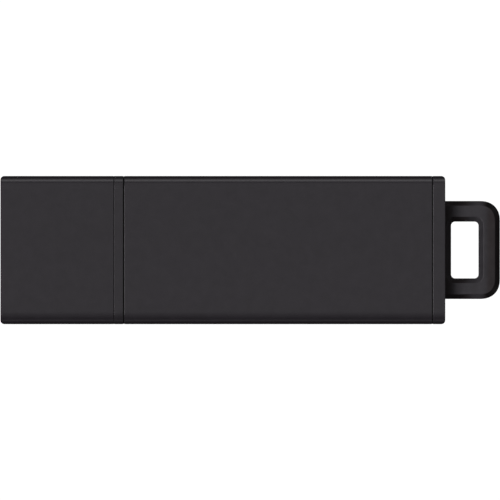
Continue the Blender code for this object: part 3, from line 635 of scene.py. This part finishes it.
def make_cap():
    solid = bmesh.new()
    skin = [end_face(solid, CAP_X0)] + closed_end(solid, CAP_X0, +1, CAP_EDGE)
    inside_cap = CAP_X0 + 3  # guides the lip's rounding only
    lip = round_path(
        [(inside_cap, 0), (CAP_X1, 0), (CAP_X1, WALL), (inside_cap, WALL)],
        radii=[0, 0.05, 0.12, 0],
        seg=4,
    )
    skin += outer_rings(solid, lip[1:-1])
    floor_x = CAP_X0 + CAP_END_WALL
    cavity = [(floor_x + 0.2, WALL), (floor_x + 0.05, WALL + 0.05), (floor_x, WALL + 0.2)]
    skin += rings(solid, OUTSIDE, cavity)
    loft(solid, skin)
    new_piece("cap_body", solid, [BODY_BLACK], "cap", "cap_shell")


# ---------------------------------------------------------------- cap liner
LINER_GAP = 0.08  # to the cap's wall
LINER_R = 0.95
POCKET_Y, POCKET = 7.85, (1.7, 4.4, 0.35)  # blind pockets either side of the plug's hole
RIB_Y, RIB_HALF, RIB_CREST_HALF = 4.4, 0.40, 0.24
RIB_OVERLAP, RIB_PROUD, RIB_SHOULDER = 0.3, 0.06, 0.12


def make_liner():
    fit = 2 * WALL + 2 * LINER_GAP
    outside = (WIDTH - fit, THICK - fit, LINER_R)
    outer = [(LINER_X0, 0.0), (LINER_X1 - 0.15, 0.0), (LINER_X1 - 0.04, 0.05), (LINER_X1, 0.15)]
    # a flared mouth, then the straight hole
    hole = [
        (LINER_X1, -0.45), (LINER_X1 - 0.06, -0.32), (LINER_X1 - 0.45, -0.03),
        (LINER_X1 - 0.6, 0.0), (LINER_X0, 0.0),
    ]
    solid = bmesh.new()
    skin = rings(solid, outside, outer, seg=8) + rings(solid, PLUG_HOLE, hole, seg=8)
    loft(solid, skin, closed=True)
    obj = new_piece("cap_liner_insert", solid, [INNER_BLACK], "cap", "cap_liner")
    for side in (-1, 1):
        outline = [(side * POCKET_Y + y, z + Z_MID) for y, z in rounded_rect(POCKET, 5)]
        pocket = bmesh.new()
        prism(
            pocket,
            [(LINER_X0 + 1.2, y, z) for y, z in outline],
            [(LINER_X1 + 1.0, y, z) for y, z in outline],
        )
        combine(obj, pocket)
    combine(obj, liner_ribs(), "UNION")


def liner_ribs():
    """Two ribs above the plug and two below, ramped at both ends."""
    # x, and how far the crest sinks back towards the wall there
    stations = [
        (LINER_X0 + 1.6, 0.2), (LINER_X0 + 2.2, 0.0),
        (LINER_X1 - 2.4, 0.0), (LINER_X1 - 1.4, 0.2),
    ]
    half_hole = PLUG_HOLE[1] / 2
    solid = bmesh.new()
    for y in (-RIB_Y, RIB_Y):
        for up in (-1, 1):
            root = Z_MID + up * (half_hole + RIB_OVERLAP)
            rows = []
            for x, sink in stations:
                crest = Z_MID + up * (half_hole - RIB_PROUD) + up * sink
                shoulder = crest + up * RIB_SHOULDER
                rows.append(verts(solid, [
                    (x, y - RIB_HALF, root),
                    (x, y - RIB_HALF, shoulder),
                    (x, y - RIB_CREST_HALF, crest),
                    (x, y + RIB_CREST_HALF, crest),
                    (x, y + RIB_HALF, shoulder),
                    (x, y + RIB_HALF, root),
                ]))
            loft(solid, rows)
    return solid


# ---------------------------------------------------------------- sleeve
def make_sleeve():
    rear_ledge = 0.2  # inset of the step at the +X end
    # (x, inset), then the radius there; the path starts and ends mid-sleeve
    corners = [
        ((0.0, 0.0), 0), ((SLEEVE_X0, 0.0), 0.085), ((SLEEVE_X0, WALL), 0.10),
        ((SLEEVE_X1, WALL), 0.10), ((SLEEVE_X1, rear_ledge), 0), ((SLEEVE_RIM, rear_ledge), 0),
        ((SLEEVE_RIM, 0.0), 0.04), ((0.0, 0.0), 0),
    ]
    points, radii = zip(*corners)
    solid = bmesh.new()
    loft(solid, outer_rings(solid, round_path(points, radii, seg=4)[1:-1]), closed=True)
    new_piece(
        "sleeve_extrusion", solid, [BODY_BLACK], "drive", "outer_sleeve"
    )


# ---------------------------------------------------------------- collar
SPIGOT = WALL + 0.15  # inset of the spigot that enters the cap
SKIRT_WALL = 0.90
COLLAR_EASE, COLLAR_BACK_EASE = 0.045, 0.04


def make_collar():
    face, mouth_x, joint_x = COLLAR_X0, CAP_X1 + CAP_GAP, SLEEVE_X0 - SLEEVE_GAP
    solid = bmesh.new()
    skin = rings(solid, PLUG_HOLE, [(face + 0.25, 0.0), (face + 0.06, -0.08), (face, -0.25)])
    spigot = round_path([(face, SPIGOT + 0.4), (face, SPIGOT), (mouth_x, SPIGOT)], [0, 0.15, 0])
    # painted shade: a shallow black step closes each seam just below the surface, standing in for
    # the shadow deep in the gap
    mouth = [(mouth_x, SEAM_1_DEEP), (COLLAR_FRONT, SEAM_1_DEEP)]
    rim = eased(COLLAR_FRONT, 1, SEAM_1_DEEP, COLLAR_EASE)[1:]
    rim += reversed(eased(COLLAR_BACK, -1, SEAM_2_DEEP, COLLAR_BACK_EASE))
    joint = (joint_x, SEAM_2_DEEP)
    skirt_in = SKIRT + SKIRT_WALL
    skirt = round_path(
        [joint, (joint_x, SKIRT), (COLLAR_X1, SKIRT), (COLLAR_X1, skirt_in),
         (COLLAR_BACK, skirt_in)],
        radii=[0, 0, 0.1, 0.1, 0],
    )
    mouth_at = len(skin) + len(spigot)
    joint_at = mouth_at + len(mouth) + len(rim)
    skin += outer_rings(solid, spigot + mouth + rim + skirt)
    skin += [ring(solid, COLLAR_BACK, PLUG_HOLE)]
    loft(solid, skin, closed=True, seam_bands=(mouth_at - 1, mouth_at, joint_at - 1, joint_at))
    new_piece(
        "collar_bezel", solid, [TRIM_BLACK, SEAM_SHADE_BLACK], "drive", "front_collar"
    )


# ---------------------------------------------------------------- end plate
PLATE_EASE = 0.085
PLATE_EDGE = 0.08
PLATE_POCKET = (16.0, 5.4, 0.4)
LOOP_SLOT = (2 * (LOOP_HALF_Y + 0.079), LOOP_T + 0.18, 0.2)


def make_end_plate():
    joint_x, joint_inset = SLEEVE_X1 + SLEEVE_GAP, 0.19
    ledge_x = SLEEVE_RIM + SLEEVE_GAP
    solid = bmesh.new()
    skin = [
        ring(solid, PLATE_FRONT, LOOP_SLOT),
        ring(solid, PLATE_FRONT, PLATE_POCKET),
        ring(solid, PLATE_X0, PLATE_POCKET),
    ]
    skirt = round_path(
        [(PLATE_X0, SKIRT + 1.0), (PLATE_X0, SKIRT), (joint_x, SKIRT)], [0, 0.15, 0]
    )[1:]
    joint = [(joint_x, joint_inset), (ledge_x, joint_inset), (ledge_x, SEAM_3_DEEP)]
    rim = eased(PLATE_RIM, 1, SEAM_3_DEEP, PLATE_EASE, seg=7)
    joint_at = len(skin) + len(skirt)
    skin += outer_rings(solid, skirt + joint + rim)
    skin += reversed(closed_end(solid, PLATE_X1, -1, PLATE_EDGE))
    skin += [end_face(solid, PLATE_X1)]
    # the softened rim of the loop's slot
    slot = [(PLATE_X1, -0.12), (PLATE_X1, -0.08), (PLATE_X1 - 0.03, -0.025), (PLATE_X1 - 0.09, 0.0)]
    skin += rings(solid, LOOP_SLOT, slot)
    # the joint's bands take the seam's painted shade
    loft(solid, skin, closed=True, seam_bands=range(joint_at - 1, joint_at + 3))
    new_piece(
        "end_plate_cap", solid, [TRIM_BLACK, SEAM_SHADE_BLACK], "drive",
        "rear_end_plate",
    )


# ---------------------------------------------------------------- lanyard loop
LOOP_SHIFT = 0.0136  # the loop sits this far towards +Y
LOOP_R = 2.75
LOOP_EASE = 2.316  # exponent of the loop's corners, 2 being a circle
LOOP_SEG, FLAT_STEPS = 14, 9
STEM_X0 = PLATE_FRONT - 0.60
HOLE_X0, HOLE_X1, HOLE_HALF_Y, HOLE_R = 27.245, 30.982, 3.848, 0.545
BEVEL_ACROSS, BEVEL_DEEP = 0.65, 0.92
NOSE_X, NOSE_R = 31.60, 3.6  # the top and bottom curve towards each other past NOSE_X


def loop_outline(x0, x1, half, r_left, r_right, ease=2.0):
    """Outline in X and Y, with corner radius r_left at x0 and r_right at x1."""
    points = []
    for end, side, start in ((1, 1, 0), (-1, 1, 90), (-1, -1, 180), (1, -1, 270)):
        radius = max(r_right if end > 0 else r_left, 0.04)
        centre_x = (x1 - radius) if end > 0 else (x0 + radius)
        for i in range(LOOP_SEG + 1):
            angle = math.radians(start + 90 * i / LOOP_SEG)
            x, y = (
                math.copysign(abs(v) ** (2 / ease), v) for v in (math.cos(angle), math.sin(angle))
            )
            points.append((centre_x + radius * x, side * (half - radius) + radius * y))
    return points


def loop_outside(inset):
    """The loop's outline drawn in by inset, except at the stem's end, which stays in place."""
    x1, half = LOOP_X1 + 0.05 - inset, LOOP_HALF_Y - inset
    return loop_outline(STEM_X0, x1, half, 0.1 - inset, LOOP_R - inset, LOOP_EASE)


def loop_hole(outset):
    radius = HOLE_R + outset
    half = HOLE_HALF_Y + outset
    return loop_outline(HOLE_X0 - outset, HOLE_X1 + outset, half, radius, radius)


def make_loop():
    half_t = LOOP_T / 2
    # (inset, height above the middle) from the upright side to the flat
    bevel = round_path(
        [(0.0, 0.0), (0.0, half_t - BEVEL_DEEP), (BEVEL_ACROSS, half_t),
         (BEVEL_ACROSS + 0.3, half_t)],
        radii=[0, 0.5, 0.14, 0],
    )[1:-1]
    solid = bmesh.new()

    def place(points, z):
        return verts(solid, [(x, y + LOOP_SHIFT, z) for x, y in points])

    def flat(shares, z):
        """Rows between the outer bevel, at share 0, and the hole's, at share 1."""
        pairs = list(zip(loop_outside(bevel[-1][0]), loop_hole(bevel[-1][0])))
        return [
            place([(p[0] * (1 - s) + q[0] * s, p[1] * (1 - s) + q[1] * s) for p, q in pairs], z)
            for s in shares
        ]

    shares = [k / FLAT_STEPS for k in range(1, FLAT_STEPS)]
    skin = [place(loop_outside(inset), Z_MID - rise) for inset, rise in reversed(bevel)]
    skin += [place(loop_outside(inset), Z_MID + rise) for inset, rise in bevel]
    skin += flat(shares, Z_MID + half_t)
    skin += [place(loop_hole(inset), Z_MID + rise) for inset, rise in reversed(bevel)]
    skin += [place(loop_hole(inset), Z_MID - rise) for inset, rise in bevel]
    skin += flat([1 - share for share in shares], Z_MID - half_t)
    loft(solid, skin, closed=True)
    for vert in solid.verts:
        past = vert.co.x / MM - NOSE_X
        if past > 0:
            drop = NOSE_R - math.sqrt(max(0.0, NOSE_R**2 - past * past))
            middle = Z_MID * MM
            vert.co.z = middle + (vert.co.z - middle) * (1 - drop / half_t)
    obj = new_piece(
        "lanyard_loop_frame", solid, [LOOP_BLACK], "drive", "lanyard_loop",
        sharp_angle=28.0,
    )
    combine(obj, loop_foot(), "UNION")


def loop_foot():
    """The wide block behind the end plate."""
    half_z = (LOOP_Z1 - LOOP_Z0) / 2
    solid = bmesh.new()
    corners = verts(solid, [
        (x, y, Z_MID + z)
        for x in (LOOP_X0, PLATE_FRONT - 0.10)
        for y in (-LOOP_Y1, LOOP_Y1)
        for z in (-half_z, half_z)
    ])
    sides = (
        (0, 1, 3, 2), (4, 6, 7, 5), (0, 4, 5, 1), (2, 3, 7, 6), (0, 2, 6, 4), (1, 5, 7, 3),
    )
    for side in sides:
        solid.faces.new([corners[i] for i in side])
    bmesh.ops.bevel(
        solid, geom=list(solid.edges), offset=0.15 * MM, segments=3, profile=0.5, affect="EDGES"
    )
    return solid


# ---------------------------------------------------------------- plug
SHEET = 0.30
PLUG_BACK = PLUG_X0 + 18.70
WINDOW, WINDOW_X, WINDOW_Y = (2.0, 2.5, 0.18), PLUG_X0 + 6.20, 2.9
FOLD_HALF, FOLD_DEEP = 0.025, 0.16
# centre line of the fold seam, as (x from the plug's mouth, y), with one dovetail
FOLD = [
    (0.0, 0.0), (8.6, 0.0), (8.8, 0.75), (10.6, 0.45), (10.6, -0.45), (12.4, -0.75), (12.6, 0.0),
]


def plug_windows():
    """Two windows through the top sheet and two through the bottom."""
    outline = rounded_rect(WINDOW, 6)
    solid = bmesh.new()
    for side_y in (-WINDOW_Y, WINDOW_Y):
        for sheet_z in (Z_MID + PLUG_H / 2, Z_MID - PLUG_H / 2):
            low, high = (
                [(WINDOW_X + x, side_y + y, z) for x, y in outline]
                for z in (sheet_z - 0.6, sheet_z + 0.6)
            )
            prism(solid, low, high)
    return solid


def fold_seam():
    """Groove where the folded sheet's edges meet, along the middle of the underside."""
    line = [(PLUG_X0 + x, y) for x, y in FOLD]
    line[0] = (PLUG_X0 - 0.5, 0.0)
    line.append((PLUG_BACK + 0.5, 0.0))
    across = []
    for start, end in zip(line, line[1:]):
        way = (Vector(end) - Vector(start)).normalized()
        across.append(Vector((-way.y, way.x)))
    left, right = [], []
    for (x, y), before, after in zip(line, across[:1] + across, across + across[-1:]):
        mitre = (before + after).normalized()
        reach = FOLD_HALF / max(0.35, mitre.dot(before))
        left.append((x + mitre.x * reach, y + mitre.y * reach))
        right.append((x - mitre.x * reach, y - mitre.y * reach))
    outline = left + right[::-1]
    solid = bmesh.new()
    prism(
        solid,
        [(x, y, PLUG_Z0 - 0.3) for x, y in outline],
        [(x, y, PLUG_Z0 + FOLD_DEEP) for x, y in outline],
    )
    return solid


def plug_leg(side):
    """Leg of sheet that reaches back into the board's notch."""
    low_y, high_y = sorted((side * (PLUG_W / 2 - SHEET + 0.02), side * (PLUG_W / 2 - 0.02)))
    root, shoulder, tip = PLUG_BACK - 0.8, PLUG_X1 - 0.5, PLUG_X1
    outline = [
        (root, 2.75), (shoulder, 2.75), (tip, 3.05), (tip, 4.45), (shoulder, 4.75), (root, 4.75),
    ]
    solid = bmesh.new()
    prism(solid, [(x, low_y, z) for x, z in outline], [(x, high_y, z) for x, z in outline])
    return solid


def make_plug_shell():
    # (x, inset): the rolled mouth, the outside, the back edge, then the inside
    mouth = [(0.02, 0.21), (0.0, 0.17), (0.02, 0.12), (0.12, 0.06), (0.30, 0.012), (0.42, 0.0)]
    back = [(-0.02, 0.0), (0.0, 0.02), (0.0, SHEET - 0.02), (-0.02, SHEET)]
    inside = [(0.1, SHEET), (0.04, SHEET - 0.03)]
    stations = [
        (origin + x, inset)
        for origin, part in ((PLUG_X0, mouth), (PLUG_BACK, back), (PLUG_X0, inside))
        for x, inset in part
    ]
    solid = bmesh.new()
    skin = rings(solid, (PLUG_W, PLUG_H, PLUG_R), stations, seg=10, least_r=0.16)
    loft(solid, skin, closed=True)
    obj = new_piece(
        "plug_shell_folded", solid, [NICKEL], "drive", "usb_plug_shell",
        sharp_angle=30.0,
    )
    combine(obj, plug_windows())
    combine(obj, fold_seam())
    for side in (-1, 1):
        combine(obj, plug_leg(side), "UNION")
    shade(obj, 30.0)


make_cap()
make_liner()
make_sleeve()
make_collar()
make_end_plate()
make_loop()
make_plug_shell()


# ---------------------------------------------------------------- carried-over CAD nodes
def dress(node, materials, pick=None, bevel=0.0):
    """Gives a CAD node its materials.

    pick(centre, normal) returns the index of the material for a face."""
    obj = nodes[node]
    mesh = obj.data
    mesh.materials.clear()
    for material in materials:
        mesh.materials.append(material)
    for face in mesh.polygons:
        face.material_index = pick(face.center / MM, face.normal) if pick else 0
    if bevel:
        edge = obj.modifiers.new("edge", "BEVEL")
        edge.width = bevel * MM
        edge.segments = 2
        edge.limit_method = "ANGLE"
        edge.angle_limit = math.radians(40)
        edge.harden_normals = False
        edge.loop_slide = True


def board_edge(centre, normal):
    return 0 if abs(normal.z) > 0.7 else 1


def terminals(node):
    """Picks the plated ends of a two-terminal part, along its longer side."""
    low, high = span(node)
    axis = 0 if high[0] - low[0] > high[1] - low[1] else 1
    length = high[axis] - low[axis]
    middle = (low[axis] + high[axis]) / 2
    half_body = length * (0.5 - 0.5 / 3.2) if length > 3 else length * 0.28
    return lambda centre, normal: 1 if abs(centre[axis] - middle) > half_body else 0


def leads(node, inset_x, inset_y=-1.0):
    """Picks the leads of a chip, outside its body as seen from above.

    A negative inset picks none on those sides."""
    low, high = span(node)

    def pick(centre, normal):
        in_x = low[0] + inset_x <= centre[0] <= high[0] - inset_x
        in_y = low[1] + inset_y <= centre[1] <= high[1] - inset_y
        return 0 if in_x and in_y else 1

    return pick


dress("contact_insulator", [TONGUE_WHITE], bevel=0.06)
for name in ("contact_vbus", "contact_data_minus", "contact_data_plus", "contact_ground"):
    dress(name, [GOLD], bevel=0.05)
for name in ("carrier_lower", "carrier_upper"):
    dress(name, [CARRIER_BLACK], bevel=0.08)
dress("circuit_board", [MASK_GREEN, FIBRE], board_edge)
for name, insets in (
    ("flash_memory_chip", (0.79,)),
    ("controller_chip", (0.89, 0.89)),
    ("voltage_regulator", (0.54,)),
):
    dress(name, [EPOXY, TIN], leads(name, *insets))
dress("crystal_oscillator", [CAN], bevel=0.04)
for name, material in (
    ("capacitor_bulk", CERAMIC_TAN),
    ("capacitor_regulator", CERAMIC_TAN),
    ("capacitor_crystal_a", CERAMIC_TAN),
    ("capacitor_crystal_b", CERAMIC_TAN),
    ("resistor_data_minus", CERAMIC_BLACK),
    ("resistor_data_plus", CERAMIC_BLACK),
    ("ferrite_bead", CERAMIC_GREY),
    ("input_fuse", FUSE_GREEN),
):
    dress(name, [material, TIN], terminals(name), bevel=0.03)


# ---------------------------------------------------------------- floor
WHITE = (1.0, 1.0, 1.0)
PLAIN_LEVEL = 1.05  # white that the camera sees behind the drive
FLOOR_GLOW, FLOOR_MATT = 0.60, 0.9  # own light and reflectance where shadow shows
# light the floor sends to the drive: everywhere, then far off by direction
FLOOR_NEAR, FLOOR_PLUS_Y, FLOOR_ENDS, FLOOR_CORNER = 0.002, 0.44, 0.7, 0.40
FLOOR_MINUS_Y, FLOOR_MINUS_Y_FAR = 0.08, 0.22


def floor_shader(tree):
    """White from straight above; from the side it takes a soft shadow. Lengths in metres."""
    geometry = tree.new("NewGeometry")
    in_x, in_y, in_z = tree.split(geometry.outputs["Incoming"])
    x, y, _ = tree.split(geometry.outputs["Position"])
    # distance from a rectangle about the drive's size
    out_x, out_y = (abs(x) - 0.034).max(0.0), (abs(y) - 0.010).max(0.0)
    away = (out_x**2.0 + out_y**2.0).sqrt()

    white = tree.add("Emission", {0: WHITE, 1: PLAIN_LEVEL})
    glow = tree.add("Emission", {0: WHITE, 1: FLOOR_GLOW})
    matt = tree.add("BsdfDiffuse", {0: (FLOOR_MATT, FLOOR_MATT, FLOOR_MATT)})
    lit = tree.add("AddShader", {0: glow, 1: matt})
    plain = in_z.fade(over=(0.90, 0.985)).max(away.fade(over=(0.10, 0.45)))
    seen = tree.add("MixShader", {0: plain, 1: lit, 2: white})

    # what the drive sees: dim close by, brighter far off, and filled towards the four corners
    way_x, way_y = tree.level_direction(in_x * -1.0, in_y * -1.0)
    plus_y = way_y.fade(over=(0.90, 0.98), to=(0.0, FLOOR_PLUS_Y))
    plus_y = plus_y * away.fade(over=(0.028, 0.060))
    minus_y = way_y.fade(over=(-0.96, -0.84), to=(1.0, 0.0)) * (
        away.fade(over=(0.022, 0.055), to=(0.0, FLOOR_MINUS_Y))
        + away.fade(over=(0.060, 0.110), to=(0.0, FLOOR_MINUS_Y_FAR))
    )
    ends = abs(way_x).fade(over=(0.80, 0.95), to=(0.0, FLOOR_ENDS))
    ends = ends * away.fade(over=(0.035, 0.10))
    corner = tree.diagonal(way_x, way_y)
    corner = corner * in_z.fade(over=(0.50, 0.80), to=(FLOOR_CORNER, 0.0))
    corner = corner * away.fade(over=(0.0, 0.012), to=(0.45, 1.0))
    bounce = tree.add("Emission", {1: (FLOOR_NEAR + plus_y) + (minus_y + ends + corner)})
    camera_ray = tree.add("LightPath", output="Is Camera Ray")
    tree.new("OutputMaterial", {0: tree.add("MixShader", {0: camera_ray, 1: bounce, 2: seen})})


def make_floor():
    solid = bmesh.new()
    bmesh.ops.create_grid(solid, x_segments=1, y_segments=1, size=30.0)  # metres
    floor = mesh_object("floor", solid)
    floor.location.z = -0.02 * MM
    material = bpy.data.materials.new("floor_pale")
    material.use_nodes = True
    floor_shader(Tree(material.node_tree))
    floor.data.materials.append(material)


make_floor()


# ---------------------------------------------------------------- light
# brightness by angle from straight up: (degrees, level)
# a strip over the drive, from -Y to +Y
STRIP = [
    (-180, 0.0), (-104, 0.0), (-97, 0.08), (-89, 0.19), (-83, 0.14), (-77, 0.03), (-68, 0.0),
    (-58, 0.05), (-48, 0.12), (-38, 0.17), (-29, 0.22), (-20, 0.30), (-11, 0.37), (0, 0.43),
    (30, 0.45), (46, 0.50), (55, 0.46), (62, 0.06), (68, 0.14), (74.5, 1.08), (80.5, 1.52),
    (88, 1.3), (94, 0.3), (99, 0.0), (180, 0.0),
]
# a dome either side of the strip, from -X to +X
DOME = [
    (-180, 0.0), (-98, 0.0), (-90, 0.08), (-60, 0.04), (-26, 0.10), (-13, 0.42), (0, 0.43),
    (10, 0.40), (20, 0.18), (45, 0.06), (88, 0.02), (98, 0.0), (180, 0.0),
]
KEY, SKY_CORNER, SKY_ENDS = 4.4, 0.11, 0.5  # levels of the key light and the fills
STUDIO_TINT = (1.0, 0.985, 1.01)


def by_angle(tree, across, up, stops):
    """Level for the angle from straight up towards across, straight lines between stops."""
    degrees = tree.math("DEGREES", tree.math("ARCTAN2", across, up))
    top = max(level for _, level in stops)
    node = tree.new("FloatCurve", {"Value": degrees.linear(over=(-180.0, 180.0))})
    curve = node.mapping.curves[0]
    while len(curve.points) < len(stops):
        curve.points.new(0.5, 0.5)
    for point, (angle, level) in zip(curve.points, stops):
        point.location = ((angle + 180) / 360, level / top)
        point.handle_type = "VECTOR"
    node.mapping.use_clip = False
    node.mapping.update()
    return Value(tree, node.outputs[0]) * top


def make_world():
    world = bpy.data.worlds.new("studio")
    bpy.context.scene.world = world
    world.use_nodes = True
    tree = Tree(world.node_tree)
    x, y, z = tree.split(tree.add("TexCoord", output="Generated"))
    way_x, way_y = tree.level_direction(x, y)
    strip = by_angle(tree, y, z, STRIP)
    dome = by_angle(tree, x, z, DOME)
    over = abs(x).fade(over=(0.10, 0.28), to=(1.0, 0.0))
    # broad key light over the cap's end
    key = way_x.fade(over=(-0.80, -0.62), to=(KEY, 0.0)) * (
        z.fade(over=(0.58, 0.70)) * z.fade(over=(0.90, 0.96), to=(1.0, 0.0))
    )
    # low fill from the four corners, and a glow on the horizon beyond each end
    corner = tree.diagonal(way_x, way_y) * (
        z.fade(over=(-0.05, 0.1)) * z.fade(over=(0.40, 0.65), to=(SKY_CORNER, 0.0))
    )
    ends = abs(way_x).fade(over=(0.80, 0.95), to=(0.0, SKY_ENDS)) * (
        z.fade(over=(-0.06, 0.0)) * z.fade(over=(0.10, 0.22), to=(1.0, 0.0))
    )
    level = (strip * over + dome * (1.0 - over) + key) + (corner + ends)
    studio = tree.add("Background", {0: STUDIO_TINT, 1: level})
    plain = tree.add("Background", {0: WHITE, 1: PLAIN_LEVEL})
    camera_ray = tree.add("LightPath", output="Is Camera Ray")
    tree.new("OutputWorld", {0: tree.add("MixShader", {0: camera_ray, 1: studio, 2: plain})})


def softbox(name, azimuth, elevation, wide, high, radiance, distance=3.0):
    """Area light aimed at the drive. Angles in degrees, azimuth 0 at +X and 90 at +Y.

    wide and high are the angles it fills as seen from the drive; distance is in metres."""
    light = bpy.data.lights.new(name, "AREA")
    light.shape = "RECTANGLE"
    light.size = 2 * distance * math.tan(math.radians(wide / 2))
    light.size_y = 2 * distance * math.tan(math.radians(high / 2))
    light.energy = radiance * math.pi * light.size * light.size_y
    obj = new_object(name, light)
    turn, lift = math.radians(azimuth), math.radians(elevation)
    level = math.cos(lift)
    way = Vector((math.cos(turn) * level, math.sin(turn) * level, math.sin(lift)))
    obj.location = way * distance
    obj.rotation_mode = "QUATERNION"
    obj.rotation_quaternion = way.to_track_quat("Z", "Y")


make_world()
softbox("end_softbox", azimuth=180, elevation=18, wide=50, high=22, radiance=1.0)
softbox("edge_softbox", azimuth=20, elevation=42, wide=26, high=16, radiance=0.8)


# ---------------------------------------------------------------- camera
CAMERA_X, CAMERA_Y = -0.0203, 0.0125
CAMERA_RISE = 2.5  # metres above the top face
VIEW_WIDTH = 67.70  # width of the view at the top face
SENSOR = 36.0


def make_camera():
    """Camera looking straight down."""
    data = bpy.data.cameras.new("camera")
    data.sensor_width = SENSOR
    data.lens = SENSOR * CAMERA_RISE / (VIEW_WIDTH * MM)
    data.clip_start, data.clip_end = 0.1, 50.0
    camera = new_object("camera", data)
    camera.location = (CAMERA_X * MM, CAMERA_Y * MM, THICK * MM + CAMERA_RISE)
    camera.rotation_euler = (0.0, 0.0, 0.0)
    bpy.context.scene.camera = camera


make_camera()
bpy.context.scene.view_settings.view_transform = "Standard"
bpy.context.scene.view_settings.look = "None"
